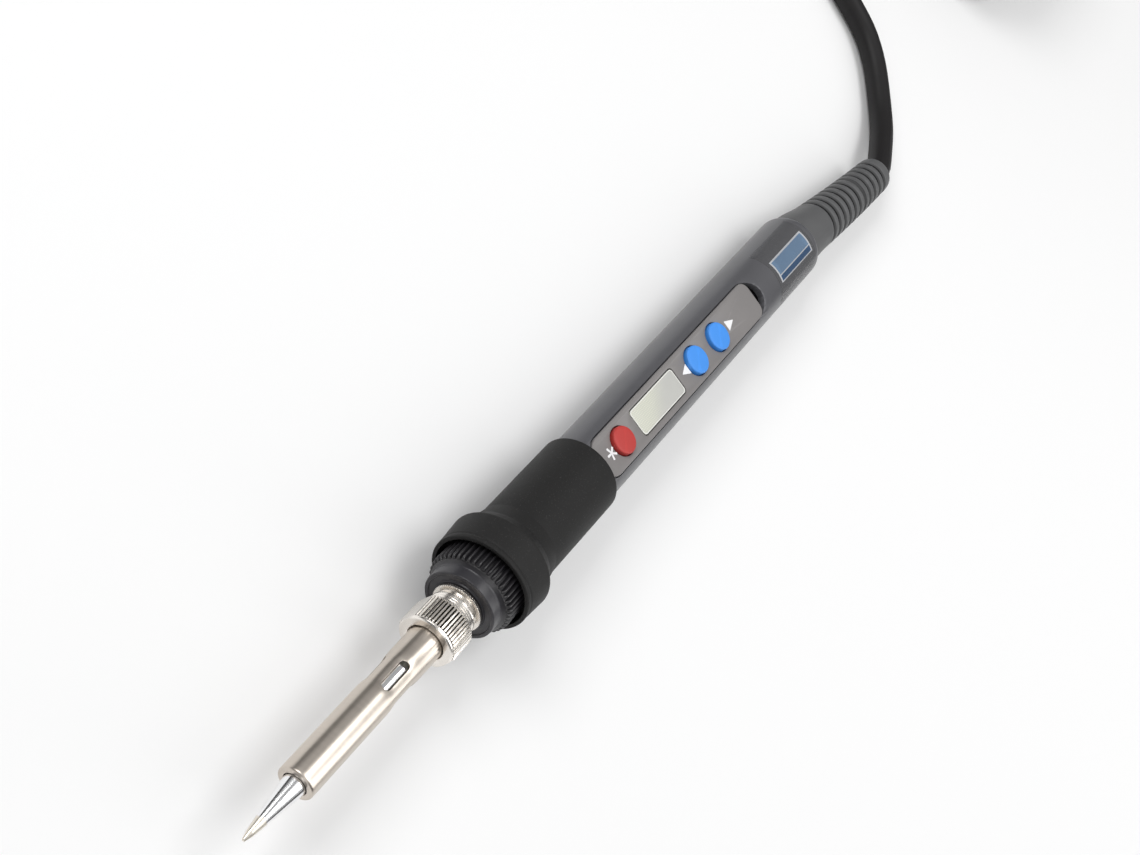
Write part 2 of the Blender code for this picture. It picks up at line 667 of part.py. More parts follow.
def make_screws(finish, iron, shell, collar):
    """Two screws through the housing into the collar's tail, hidden by the sleeve."""
    head_top = HOUSING_RADIUS - 0.2 * MM
    tip = COLLAR_LEAD_BORE + 0.8 * MM
    head_bottom = head_top - SCREW_HEAD_LENGTH
    for name, side in (("left", -1), ("right", 1)):
        profile = [
            (tip, 0),
            (tip, SCREW_RADIUS),
            (head_bottom, SCREW_RADIUS),
            (head_bottom, SCREW_HEAD_RADIUS),
            (head_top, SCREW_HEAD_RADIUS),
            (head_top, 0),
        ]
        screw = turned(f"collar_screw_{name}", profile, finish["screw_steel"], iron, 12)
        head_room = [
            (0, 0),
            (0, SCREW_RADIUS + GAP),
            (head_bottom - GAP, SCREW_RADIUS + GAP),
            (head_bottom - GAP, SCREW_HEAD_RADIUS + GAP),
            (head_top + 1 * MM, SCREW_HEAD_RADIUS + GAP),
            (head_top + 1 * MM, 0),
        ]
        hole = turned(f"screw_hole_{name}", head_room, finish["screw_steel"], iron, 12)
        for obj in (screw, hole):
            obj.rotation_euler = (0, 0, side * math.pi / 2)
            obj.location = (SCREW_STATION, 0, 0)
        combine(shell, hole)
        collar_cut = collar.modifiers.new(f"difference_{hole.name}", "BOOLEAN")
        collar_cut.operation = "DIFFERENCE"
        collar_cut.solver = "EXACT"
        collar_cut.object = hole


def panel_outline():
    nose = arc((PANEL_FRONT - PANEL_HALF_WIDTH, 0), PANEL_HALF_WIDTH, -90, 90, 12)
    corner = PANEL_REAR_CORNER
    side = PANEL_HALF_WIDTH - corner
    left = arc((PANEL_REAR + corner, side), corner, 90, 180, 5)
    right = arc((PANEL_REAR + corner, -side), corner, 180, 270, 5)
    return nose + left + right


def make_panel(finish, iron):
    """The panel plate with its window and button holes, and the window in it."""
    bottom = PANEL_TOP - PANEL_THICKNESS
    panel = prism("control_panel", panel_outline(), bottom, PANEL_TOP, finish["panel_plastic"], iron)
    for name, station, radius in BUTTONS:
        outline = arc((station, 0), radius + GAP, 0, 348.75, 31)
        hole = prism(f"{name}_hole", outline, bottom - 1 * MM, PANEL_TOP + 1 * MM, finish["panel_plastic"], iron)
        combine(panel, hole)
    low = (WINDOW_REAR - GAP, -WINDOW_HALF_WIDTH - GAP)
    high = (WINDOW_FRONT + GAP, WINDOW_HALF_WIDTH + GAP)
    outline = rounded_rectangle(low, high, WINDOW_CORNER + GAP)
    combine(panel, prism("window_hole", outline, bottom - 1 * MM, PANEL_TOP + 1 * MM, finish["panel_plastic"], iron))
    outline = rounded_rectangle(
        (WINDOW_REAR, -WINDOW_HALF_WIDTH), (WINDOW_FRONT, WINDOW_HALF_WIDTH), WINDOW_CORNER
    )
    top = PANEL_TOP - WINDOW_DROP
    prism("display_window", outline, top - WINDOW_THICKNESS, top, finish["window_plastic"], iron)


def make_buttons(finish, iron):
    """Each button's cap and the switch plunger under it, with their origins on the axis they travel on."""
    bottom = PANEL_TOP - PANEL_THICKNESS
    flange_top = bottom - GAP
    flange_bottom = flange_top - BUTTON_FLANGE_THICKNESS
    rim = PANEL_TOP + BUTTON_RISE
    for name, station, radius in BUTTONS:
        colour = finish["red_button" if name == "power" else "blue_button"]
        profile = [
            (flange_bottom, 0),
            (flange_bottom, radius + BUTTON_FLANGE),
            (flange_top, radius + BUTTON_FLANGE),
            (flange_top, radius),
            (rim - 0.3 * MM, radius),
            (rim, radius - 0.4 * MM),
            (rim + 0.7 * BUTTON_DOME, 0.6 * radius),
            (rim + BUTTON_DOME, 0),
        ]
        cap = turned(f"{name}_button", profile, colour, iron, MEDIUM_ROUND)
        plunger_top = flange_bottom - GAP
        plunger_bottom = plunger_top - PLUNGER_LENGTH
        rod = [
            (plunger_bottom, 0),
            (plunger_bottom, PLUNGER_RADIUS),
            (plunger_top, PLUNGER_RADIUS),
            (plunger_top, 0),
        ]
        plunger = turned(f"{name}_plunger", rod, finish["switch_plastic"], iron, SMALL_ROUND)
        for obj in (cap, plunger):
            obj.rotation_euler.y = -math.pi / 2
            obj.location = (station, 0, 0)
        low = (station - SWITCH_SIDE / 2, -SWITCH_SIDE / 2, BOARD_TOP + GAP)
        high = (station + SWITCH_SIDE / 2, SWITCH_SIDE / 2, BOARD_TOP + GAP + SWITCH_HEIGHT)
        switch = block(f"{name}_switch", low, high, finish["switch_plastic"], iron)
        outline = arc((station, 0), PLUNGER_RADIUS + GAP, 0, 337.5, 15)
        floor = plunger_bottom - BUTTON_TRAVEL - GAP
        combine(switch, prism(f"{name}_well", outline, floor, rim, finish["switch_plastic"], iron))


def make_electronics(finish, iron):
    board_bottom = BOARD_TOP - BOARD_THICKNESS
    low = (BOARD_REAR, -BOARD_HALF_WIDTH, board_bottom)
    high = (BOARD_FRONT, BOARD_HALF_WIDTH, BOARD_TOP)
    block("circuit_board", low, high, finish["board"], iron)
    seat = BOARD_TOP + GAP
    display_top = PANEL_TOP - WINDOW_DROP - WINDOW_THICKNESS - GAP
    low = (WINDOW_REAR - 0.5 * MM, -DISPLAY_HALF_WIDTH, seat)
    high = (WINDOW_FRONT + 0.5 * MM, DISPLAY_HALF_WIDTH, min(display_top, PANEL_TOP - PANEL_THICKNESS - GAP))
    block("display_module", low, high, finish["display_metal"], iron)
    low = (TRIAC_CENTRE - 4.5 * MM, -3.5 * MM, seat)
    block("triac", low, (TRIAC_CENTRE + 4.5 * MM, 3.5 * MM, seat + 2.5 * MM), finish["chip_plastic"], iron)
    low = (CHIP_CENTRE - 3 * MM, -3 * MM, seat)
    block("microcontroller", low, (CHIP_CENTRE + 3 * MM, 3 * MM, seat + 1.4 * MM), finish["chip_plastic"], iron)
    half = CAPACITOR_LENGTH / 2
    profile = [(-half, 0), (-half, CAPACITOR_RADIUS), (half, CAPACITOR_RADIUS), (half, 0)]
    place = (CAPACITOR_CENTRE, 0, seat + CAPACITOR_RADIUS)
    turned("filter_capacitor", profile, finish["capacitor_sleeve"], iron, SMALL_ROUND, place)


def make_leads(finish, iron, base_rear):
    """Four heater and sensor leads, two to each side of the board's front end."""
    start = base_rear - GAP
    straight_end = COLLAR_SHOULDER - COLLAR_TAIL_LENGTH - 0.5 * MM
    rise = GAP + LEAD_RADIUS
    for i in range(4):
        angle = math.radians(45 + 90 * i)
        y, z = LEAD_SPREAD * math.sin(angle), LEAD_SPREAD * math.cos(angle)
        on_board = BOARD_TOP + rise if z > 0 else BOARD_TOP - BOARD_THICKNESS - rise
        route = [
            (start, y, z),
            ((start + straight_end) / 2, y, z),
            (straight_end, y, z),
            (BOARD_FRONT + 1 * MM, y, on_board),
            (BOARD_FRONT - 2.5 * MM, y, on_board),
        ]
        tube(f"heater_lead_{i + 1}", smooth_line(route, 1.6 * MM), LEAD_RADIUS, finish["lead_sleeve"], iron)


def boot_frame(distance):
    """The frame on the boot's centre line: X against the way the cord leaves, at a distance from the housing."""
    outside = max(0.0, distance)
    start = min(outside, BOOT_BEND_START)
    slope = BOOT_LEAN * start / BOOT_BEND_START - 2 * BOOT_STRAIGHTENING * outside
    side = BOOT_LEAN * (start**2 / (2 * BOOT_BEND_START) + outside - start) - BOOT_STRAIGHTENING * outside**2
    turn = Matrix.Rotation(-math.atan(slope), 4, "Z")
    return Matrix.Translation((HOUSING_REAR - distance, side, 0)) @ turn


def boot_radius(distance):
    """The boot's outside, falling fast to the waist and slowly to its end."""
    if distance < BOOT_WAIST:
        return BOOT_BASE_RADIUS + (BOOT_WAIST_RADIUS - BOOT_BASE_RADIUS) * distance / BOOT_WAIST
    share = (distance - BOOT_WAIST) / (BOOT_LENGTH - BOOT_WAIST)
    return BOOT_WAIST_RADIUS + (BOOT_END_RADIUS - BOOT_WAIST_RADIUS) * share


def make_boot(finish, iron):
    """The bent strain relief, held by its flange behind the housing's end wall."""
    bore = CORD_RADIUS + 1.5 * GAP
    inside = -HOUSING_END_WALL - GAP
    pitch = (BOOT_LENGTH - BOOT_WAIST - 2 * MM) / BOOT_GROOVES
    groove = BOOT_GROOVE_SHARE * pitch
    profile = [
        (inside - BOOT_FLANGE_LENGTH, bore),
        (inside - BOOT_FLANGE_LENGTH, BOOT_FLANGE_RADIUS),
        (inside, BOOT_FLANGE_RADIUS),
        (inside, BOOT_NECK_RADIUS),
        (GAP, BOOT_NECK_RADIUS),
        (GAP, BOOT_BASE_RADIUS),
    ]
    for i in range(BOOT_GROOVES):
        start = BOOT_WAIST + i * pitch
        end = start + groove
        profile += [
            (start, boot_radius(start)),
            ((start + end) / 2, boot_radius(start) - BOOT_GROOVE_DEPTH),
            (end, boot_radius(end)),
        ]
    profile += [(BOOT_LENGTH - 0.4 * MM, BOOT_END_RADIUS), (BOOT_LENGTH, BOOT_END_RADIUS - 0.4 * MM)]
    bends = 10
    profile += [(BOOT_LENGTH * (1 - i / bends), bore) for i in range(bends)]
    return turned("cord_boot", profile, finish["boot_rubber"], iron, MEDIUM_ROUND, frame_at=boot_frame)


def make_inner_cord(finish, iron):
    """The cord's end inside the boot and the housing, its stop, and the three wires to the board."""
    start = -CORD_INNER_LENGTH
    steps = 24
    end = BOOT_LENGTH - 2 * GAP
    line = [boot_frame(start + (end - start) * i / steps).translation for i in range(steps + 1)]
    tube("cord_inner", line, CORD_RADIUS, finish["cord_rubber"], iron)
    stop_front = -(HOUSING_END_WALL + BOOT_FLANGE_LENGTH + 3 * GAP)
    bore = CORD_RADIUS + GAP
    profile = [
        (stop_front, bore),
        (stop_front, CORD_STOP_RADIUS),
        (stop_front - CORD_STOP_LENGTH, CORD_STOP_RADIUS),
        (stop_front - CORD_STOP_LENGTH, bore),
    ]
    turned("cord_stop", profile, finish["tie_plastic"], iron, SMALL_ROUND, frame_at=boot_frame)
    above = BOARD_TOP + GAP + WIRE_RADIUS
    face = boot_frame(start - 2 * GAP).translation
    for i, name in enumerate(("live", "neutral", "earth")):
        angle = 2 * math.pi * i / 3
        y, z = face.y + 1.9 * MM * math.sin(angle), 1.9 * MM * math.cos(angle)
        across = (0, 1, -1)[i] * 3.4 * MM
        route = [
            (face.x, y, z),
            (face.x + 3 * MM, y, z),
            (BOARD_REAR - 1.5 * MM, across, above + (0.2 * MM if i == 0 else 0)),
            (BOARD_REAR + 2.5 * MM, across, above),
        ]
        tube(f"{name}_wire", smooth_line(route, 1.5 * MM), WIRE_RADIUS, finish[f"{name}_wire"], iron)


def lay_down(iron, tip, boot):
    """Tips the iron onto its flange and its housing's rear edge, over the middle of its own length."""
    flange = (SLEEVE_FLANGE_REAR + FLANGE_EDGE, SLEEVE_FLANGE_RADIUS)
    edge = (HOUSING_REAR + HOUSING_EDGE_ROUND, HOUSING_RADIUS)
    tilt = math.atan((flange[1] - edge[1]) / (flange[0] - edge[0]))
    iron.rotation_euler.y = -tilt
    iron.location.z = flange[1] * math.cos(tilt) - flange[0] * math.sin(tilt)
    bpy.context.view_layer.update()
    nose = max((iron.matrix_world @ vertex.co).x for vertex in tip.data.vertices)
    tail = min((iron.matrix_world @ vertex.co).x for vertex in boot.data.vertices)
    iron.location.x = -(nose + tail) / 2
    bpy.context.view_layer.update()
    return iron.matrix_world.copy()


def make_free_cord(finish, world):
    """The cord on the bench, up to its hank."""
    leaving = world @ boot_frame(BOOT_LENGTH + 5 * GAP).translation
    route = [Vector(place) + Vector((ROUTE_SHIFT, 0, 0)) for place in ROUTE]
    line = smooth_line([leaving, *route], 2 * 2 * CORD_RADIUS)
    tube("power_cord", line, CORD_RADIUS, finish["cord_rubber"])


def hank_outline(fold):
    """A stadium that far out from the hank's middle line, as points."""
    middle = HANK_LOW_SIDE + hank_half_width()
    near = HANK_NEAR - hank_half_width()
    far = HANK_FAR + hank_half_width()
    right = arc((near, middle), fold, -90, 90, 14)
    return right + arc((far, middle), fold, 90, 270, 14)


def hank_half_width():
    return HANK_FOLD_RADIUS + (2 * HANK_TURNS_ACROSS - 1) * CORD_RADIUS


def make_hank(finish):
    """The hank's outer shape, lifted by the tie under it."""
    lift = TIE_THICKNESS + GAP
    top = lift + HANK_LAYERS * 2 * CORD_RADIUS
    outer = prism("cord_hank", hank_outline(hank_half_width()), lift, top, finish["cord_rubber"], None)
    inner = hank_outline(HANK_FOLD_RADIUS - CORD_RADIUS)
    combine(outer, prism("hank_hole", inner, lift - 1 * MM, top + 1 * MM, finish["cord_rubber"], None))
    bundle = HANK_TURNS_ACROSS * 2 * CORD_RADIUS
    middle = (HANK_NEAR + HANK_FAR) / 2
    far_side = HANK_LOW_SIDE + 2 * hank_half_width()
    low = (middle - TIE_WIDTH / 2, far_side - bundle - GAP - TIE_THICKNESS, 0)
    high = (middle + TIE_WIDTH / 2, far_side + GAP + TIE_THICKNESS, top + GAP + TIE_THICKNESS)
    tie = block("cord_tie", low, high, finish["tie_plastic"], None)
    low = (low[0] - 1 * MM, far_side - bundle - GAP, TIE_THICKNESS)
    high = (high[0] + 1 * MM, far_side + GAP, top + GAP)
    combine(tie, block("tie_hole", low, high, finish["tie_plastic"], None))
    return top


def make_plug(finish, hank_top):
    """A three-pin plug that lies on the hank, its blades away from the iron."""
    rear = PLUG_REAR
    front = rear - PLUG_LENGTH
    y = HANK_LOW_SIDE + PLUG_WIDTH / 2
    bottom = hank_top + GAP
    middle = bottom + PLUG_HEIGHT / 2
    low = (y - PLUG_WIDTH / 2, bottom)
    high = (y + PLUG_WIDTH / 2, bottom + PLUG_HEIGHT)
    outline = rounded_rectangle(low, high, PLUG_CORNER, 5)
    body = prism("plug_body", outline, front, rear, finish["plug_plastic"], None, "X")
    relief = [
        (-3 * MM, 0),
        (-3 * MM, PLUG_TAIL_RADIUS),
        (0, PLUG_TAIL_RADIUS),
        (PLUG_TAIL_LENGTH, CORD_RADIUS + 1.2 * MM),
        (PLUG_TAIL_LENGTH, 0),
    ]
    place = (rear, y, middle)
    combine(body, turned("plug_tail", relief, finish["plug_plastic"], None, MEDIUM_ROUND, place), "UNION")
    blade_front = front - GAP
    blade_z = middle + BLADE_HEIGHT
    for name, side in (("live", -1), ("neutral", 1)):
        blade_y = y + side * BLADE_SPACING / 2
        low = (blade_front - BLADE_LENGTH, blade_y - BLADE_THICKNESS / 2, blade_z - BLADE_WIDTH / 2)
        high = (blade_front, blade_y + BLADE_THICKNESS / 2, blade_z + BLADE_WIDTH / 2)
        block(f"plug_{name}_blade", low, high, finish["plug_brass"], None)
    pin = [
        (-EARTH_LENGTH, 0),
        (-EARTH_LENGTH, 0.5 * EARTH_RADIUS),
        (EARTH_RADIUS - EARTH_LENGTH, EARTH_RADIUS),
        (0, EARTH_RADIUS),
        (0, 0),
    ]
    place = (blade_front, y, blade_z - EARTH_DROP)
    turned("plug_earth_pin", pin, finish["plug_brass"], None, SMALL_ROUND, place)


def make_cord_tail(finish, hank_top):
    """The cord's last stretch: over the tie, round the hank's near fold and into the plug."""
    plug_y = HANK_LOW_SIDE + PLUG_WIDTH / 2
    plug_z = hank_top + GAP + PLUG_HEIGHT / 2
    far_lane = HANK_LOW_SIDE + 2 * hank_half_width() - CORD_RADIUS
    fold = (far_lane - plug_y) / 2
    fold_x = HANK_NEAR - hank_half_width()
    resting = hank_top + GAP + CORD_RADIUS
    over_tie = resting + TIE_THICKNESS + GAP
    tie_x = (HANK_NEAR + HANK_FAR) / 2
    route = [
        (tie_x - TIE_WIDTH, far_lane, over_tie),
        (tie_x, far_lane, over_tie),
        (tie_x + TIE_WIDTH, far_lane, over_tie),
    ]
    steps = 8
    for i in range(1, steps):
        angle = math.pi * i / steps
        share = i / steps
        z = over_tie + (plug_z - over_tie) * (3 * share**2 - 2 * share**3)
        route.append((fold_x + fold * math.sin(angle), far_lane - fold + fold * math.cos(angle), z))
    route.append((PLUG_REAR + PLUG_TAIL_LENGTH + 3 * GAP, plug_y, plug_z))
    tube("cord_tail", smooth_line(route, 2 * CORD_RADIUS), CORD_RADIUS, finish["cord_rubber"])


def main():
    clear_scene()
    finish = make_finishes()
    iron = bpy.data.objects.new("iron", None)
    bpy.context.scene.collection.objects.link(iron)
    barrel_rear = make_barrel(finish, iron)
    tip = make_tip(finish, iron)
    base_rear = make_heater_base(finish, iron)
    make_ferrule(finish, iron, barrel_rear)
    make_nut(finish, iron)
    collar = make_collar(finish, iron, base_rear)
    make_sleeve(finish, iron)
    shell = make_housing(finish, iron)
    make_screws(finish, iron, shell, collar)
    make_panel(finish, iron)
    make_buttons(finish, iron)
    make_electronics(finish, iron)
    make_leads(finish, iron, base_rear)
    boot = make_boot(finish, iron)
    make_inner_cord(finish, iron)
    world = lay_down(iron, tip, boot)
    make_free_cord(finish, world)
    hank_top = make_hank(finish)
    make_plug(finish, hank_top)
    make_cord_tail(finish, hank_top)


main()
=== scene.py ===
"""Hand-held digital soldering iron: its visible pieces and finishes, its coiled cord and its studio."""

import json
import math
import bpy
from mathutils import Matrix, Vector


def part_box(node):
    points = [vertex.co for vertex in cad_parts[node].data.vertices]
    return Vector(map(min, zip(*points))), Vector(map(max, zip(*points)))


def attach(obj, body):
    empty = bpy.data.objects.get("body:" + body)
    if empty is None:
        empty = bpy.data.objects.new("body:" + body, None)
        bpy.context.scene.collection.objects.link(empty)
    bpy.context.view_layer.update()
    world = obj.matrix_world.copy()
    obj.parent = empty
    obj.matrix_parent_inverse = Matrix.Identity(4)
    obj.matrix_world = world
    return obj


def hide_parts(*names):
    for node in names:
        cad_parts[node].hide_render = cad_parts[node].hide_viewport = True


bl_info = {
    "name": "Soldering Iron Builder",
    "version": (1, 0, 0),
    "blender": (4, 5, 0),
    "location": "3D View > Sidebar > Soldering Iron",
    "description": "Builds a hand-held soldering iron with a button panel, a coiled mains cord and a plug",
    "category": "Add Mesh",
}

import bmesh
import bpy
from mathutils import Matrix, Vector

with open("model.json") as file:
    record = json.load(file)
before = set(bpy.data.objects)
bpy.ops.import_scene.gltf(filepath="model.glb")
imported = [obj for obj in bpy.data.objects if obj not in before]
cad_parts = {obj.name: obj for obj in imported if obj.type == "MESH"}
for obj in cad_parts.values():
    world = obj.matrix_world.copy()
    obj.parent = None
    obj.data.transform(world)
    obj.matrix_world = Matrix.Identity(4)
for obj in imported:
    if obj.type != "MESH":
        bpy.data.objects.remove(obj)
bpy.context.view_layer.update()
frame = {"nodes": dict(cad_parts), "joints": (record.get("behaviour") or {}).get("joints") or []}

MM = 0.001
NUT_STATION = 5.2  # mm from the collar's front face to the nut's rear
JOINTS = {joint["name"]: joint for joint in frame["joints"]}


def iron_matrix():
    """The iron's own frame: +X to the nose, the panel on +Z, the origin at the collar's front face."""
    along = Vector(JOINTS["nut_turn"]["axis"]).normalized()
    up = -Vector(JOINTS["power_press"]["axis"]).normalized()
    turn = Matrix((along, up.cross(along), up)).transposed().to_4x4()
    nut = Vector(JOINTS["nut_turn"]["pos_m"])
    return Matrix.Translation(nut - along * NUT_STATION * MM) @ turn


IRON = iron_matrix()
BENCH = Matrix.Identity(4)  # for what is drawn straight on the bench, not in the iron's frame

# ---------------------------------------------------------------- settings


def colour(name, default, description):
    return bpy.props.FloatVectorProperty(
        name=name, description=description, default=default, subtype="COLOR", size=3, min=0.0, max=1.0
    )


def length(name, default_mm, description):
    return bpy.props.FloatProperty(
        name=name, description=description, default=default_mm * MM, unit="LENGTH", min=0.0, precision=4
    )


class IRON_PG_finishes(bpy.types.PropertyGroup):
    """Colours of the iron's finishes"""

    tip: colour("Tip", (0.92, 0.92, 0.93), "Plated steel of the tip")
    tinning: colour("Tinning", (0.80, 0.75, 0.66), "Tinned end of the tip")
    barrel: colour("Barrel", (0.62, 0.56, 0.495), "Stainless steel of the barrel")
    nickel: colour("Nickel", (0.93, 0.885, 0.83), "Plating of the nut and the ferrule")
    collar: colour("Collar", (0.017, 0.016, 0.018), "Plastic of the toothed collar")
    sleeve: colour("Sleeve", (0.0165, 0.0162, 0.016), "Rubber of the grip")
    housing: colour("Housing", (0.098, 0.098, 0.106), "Plastic of the handle")
    panel: colour("Panel", (0.225, 0.213, 0.21), "Plastic of the control panel")
    screen: colour("Screen", (0.56, 0.56, 0.53), "Display with no segments lit")
    power: colour("Power button", (0.50, 0.040, 0.034), "Rubber of the power button")
    arrows: colour("Arrow buttons", (0.055, 0.30, 0.87), "Rubber of the two arrow buttons")
    print: colour("Print", (0.82, 0.82, 0.84), "Ink of the marks on the panel")
    label_sky: colour("Label, upper", (0.15, 0.255, 0.40), "Paler field of the label")
    label_sea: colour("Label, lower", (0.014, 0.075, 0.19), "Darker field of the label")
    boot: colour("Strain relief", (0.115, 0.116, 0.118), "Rubber of the strain relief")
    cord: colour("Cord", (0.013, 0.012, 0.0125), "Jacket of the cord")
    plug: colour("Plug", (0.022, 0.022, 0.022), "Moulded plastic of the plug")
    bench: colour("Bench", (0.93, 0.93, 0.93), "Floor under the iron")


class IRON_PG_sizes(bpy.types.PropertyGroup):
    """Sizes of the finer features"""

    bar_depth: length("Nut groove", 0.42, "Depth of the grooves between the nut's bars")
    flat_depth: length("Wrench flat", 0.75, "Depth of the nut's two wrench flats")
    tooth_height: length("Collar tooth", 0.85, "Height of the collar's teeth")
    slot_dimple: length("Slot dimple", 0.38, "How far the barrel is pressed in round its slots")
    boot_groove: length("Boot groove", 1.4, "Depth of the strain relief's grooves")
    panel_edge: length("Panel edge", 0.28, "Rounding of the panel's edge")
    button_edge: length("Button edge", 0.75, "Rounding of the buttons' rims")
    nut_bars: bpy.props.IntProperty(name="Nut bars", description="Bars round the nut", default=54, min=12)
    teeth: bpy.props.IntProperty(name="Collar teeth", description="Teeth on the collar", default=48, min=12)


def finishes():
    return bpy.context.scene.iron_finishes


def sizes():
    return bpy.context.scene.iron_sizes


# ---------------------------------------------------------------- shader node groups


class Tree:
    """Places nodes in a tree and links them. A value given as a socket is linked, any other is set."""

    def __init__(self, tree):
        self.tree = tree

    def add(self, kind, inputs=None, output=0, **settings):
        node = self.tree.nodes.new(kind)
        for name, value in settings.items():
            setattr(node, name, value)
        for name, value in (inputs or {}).items():
            self.put(node.inputs[name], value)
        return node.outputs[output]

    def put(self, socket, value):
        if isinstance(value, bpy.types.NodeSocket):
            self.tree.links.new(value, socket)
        else:
            socket.default_value = value

    def math(self, operation, first, second=0.5, clamp=False):
        return self.add("ShaderNodeMath", {0: first, 1: second}, operation=operation, use_clamp=clamp)

    def noise(self, vector, scale, detail=3.0, roughness=0.5):
        inputs = {"Vector": vector, "Scale": scale, "Detail": detail, "Roughness": roughness}
        return self.add("ShaderNodeTexNoise", inputs)

    def step(self, value, low, high):
        """0 under low, 1 over high, smooth between."""
        inputs = {"Value": value, "From Min": low, "From Max": high}
        return self.add("ShaderNodeMapRange", inputs, interpolation_type="SMOOTHSTEP")

    def scaled(self, vector, scale):
        inputs = {0: vector, 1: scale}
        return self.add("ShaderNodeVectorMath", inputs, operation="MULTIPLY")

    def mix(self, factor, first, second):
        """Two colours blended, each a socket or a tuple of red, green and blue."""
        node = self.tree.nodes.new("ShaderNodeMix")
        node.data_type = "RGBA"
        self.put(node.inputs[0], factor)
        for socket, tint in ((node.inputs[6], first), (node.inputs[7], second)):
            self.put(socket, (*tint[:3], 1.0) if isinstance(tint, tuple) else tint)
        return node.outputs[2]

    def part(self, vector, axis):
        """One coordinate of a vector: X, Y or Z."""
        return self.add("ShaderNodeSeparateXYZ", {0: vector}, axis)


def group(name, inputs, outputs):
    """An empty shader group, its tree, the sockets it is given and the sockets it puts out."""
    made = bpy.data.node_groups.new(name, "ShaderNodeTree")
    for socket, kind, default in inputs:
        item = made.interface.new_socket(name=socket, in_out="INPUT", socket_type=kind)
        if default is not None:
            item.default_value = default
    for socket, kind in outputs:
        made.interface.new_socket(name=socket, in_out="OUTPUT", socket_type=kind)
    tree = Tree(made)
    source = made.nodes.new("NodeGroupInput")
    result = made.nodes.new("NodeGroupOutput")
    return made, tree, source.outputs, result.inputs


FLOAT = "NodeSocketFloat"
VECTOR = "NodeSocketVector"


def make_fine_grain():
    """Moulded grain: a height, a speckle and a slow mottle from an object's own coordinates."""
    made, tree, given, result = group(
        "Fine grain",
        [("Vector", VECTOR, None), ("Grain per metre", FLOAT, 3000.0), ("Mottle per metre", FLOAT, 60.0)],
        [("Height", FLOAT), ("Speckle", FLOAT), ("Mottle", FLOAT)],
    )
    grain = tree.noise(given["Vector"], given["Grain per metre"], 2.0, 0.6)
    tree.put(result["Height"], grain)
    tree.put(result["Speckle"], tree.step(grain, 0.60, 0.74))
    tree.put(result["Mottle"], tree.noise(given["Vector"], given["Mottle per metre"], 4.0, 0.55))
    return made


def make_wear_and_shade():
    """A mask of rubbed edges and another of hollows for painted shade, from the surface's own sharpness."""
    made, tree, given, result = group(
        "Edge wear and hollow shade",
        [("Vector", VECTOR, None), ("Break-up per metre", FLOAT, 400.0), ("Reach", FLOAT, 0.06)],
        [("Edges", FLOAT), ("Shaded hollows", FLOAT)],
    )
    sharp = tree.add("ShaderNodeNewGeometry", output="Pointiness")
    rough = tree.noise(given["Vector"], given["Break-up per metre"], 3.0, 0.6)
    shift = tree.math("MULTIPLY", tree.math("SUBTRACT", rough, 0.5), 0.12)
    broken = tree.math("ADD", sharp, shift)
    high = tree.math("ADD", 0.53, given["Reach"])
    tree.put(result["Edges"], tree.step(broken, 0.52, high))
    tree.put(result["Shaded hollows"], tree.math("SUBTRACT", 1.0, tree.step(broken, 0.40, 0.49)))
    return made


def make_turned_lines():
    """Fine rings left by turning and polishing about the X axis: a height and a slow streak."""
    made, tree, given, result = group(
        "Turned lines",
        [("Vector", VECTOR, None), ("Rings per metre", FLOAT, 9000.0), ("Around per metre", FLOAT, 60.0)],
        [("Height", FLOAT), ("Streak", FLOAT)],
    )
    parts = tree.tree.nodes.new("ShaderNodeCombineXYZ")
    tree.put(parts.inputs["X"], given["Rings per metre"])
    tree.put(parts.inputs["Y"], given["Around per metre"])
    tree.put(parts.inputs["Z"], given["Around per metre"])
    stretched = tree.scaled(given["Vector"], parts.outputs[0])
    tree.put(result["Height"], tree.noise(stretched, 1.0, 2.0, 0.5))
    tree.put(result["Streak"], tree.noise(stretched, 0.11, 3.0, 0.6))
    return made


def make_axis_depth():
    """How far out from the X axis a point is: 0 at the low radius, 1 at the high one."""
    made, tree, given, result = group(
        "Depth from axis",
        [("Vector", VECTOR, None), ("Low", FLOAT, 0.0), ("High", FLOAT, 1.0)],
        [("Depth", FLOAT), ("Radius", FLOAT)],
    )
    flat = tree.scaled(given["Vector"], (0.0, 1.0, 1.0))
    radius = tree.add("ShaderNodeVectorMath", {0: flat}, "Value", operation="LENGTH")
    tree.put(result["Radius"], radius)
    tree.put(result["Depth"], tree.step(radius, given["Low"], given["High"]))
    return made


def make_handling():
    """Smudges of handling: where a surface is a little glossier and a little duller."""
    made, tree, given, result = group(
        "Handling",
        [("Vector", VECTOR, None), ("Smudges per metre", FLOAT, 90.0)],
        [("Smudge", FLOAT), ("Dust", FLOAT)],
    )
    tree.put(result["Smudge"], tree.noise(given["Vector"], given["Smudges per metre"], 5.0, 0.6))
    fine = tree.noise(given["Vector"], tree.math("MULTIPLY", given["Smudges per metre"], 40.0), 2.0, 0.7)
    tree.put(result["Dust"], tree.step(fine, 0.66, 0.78))
    return made


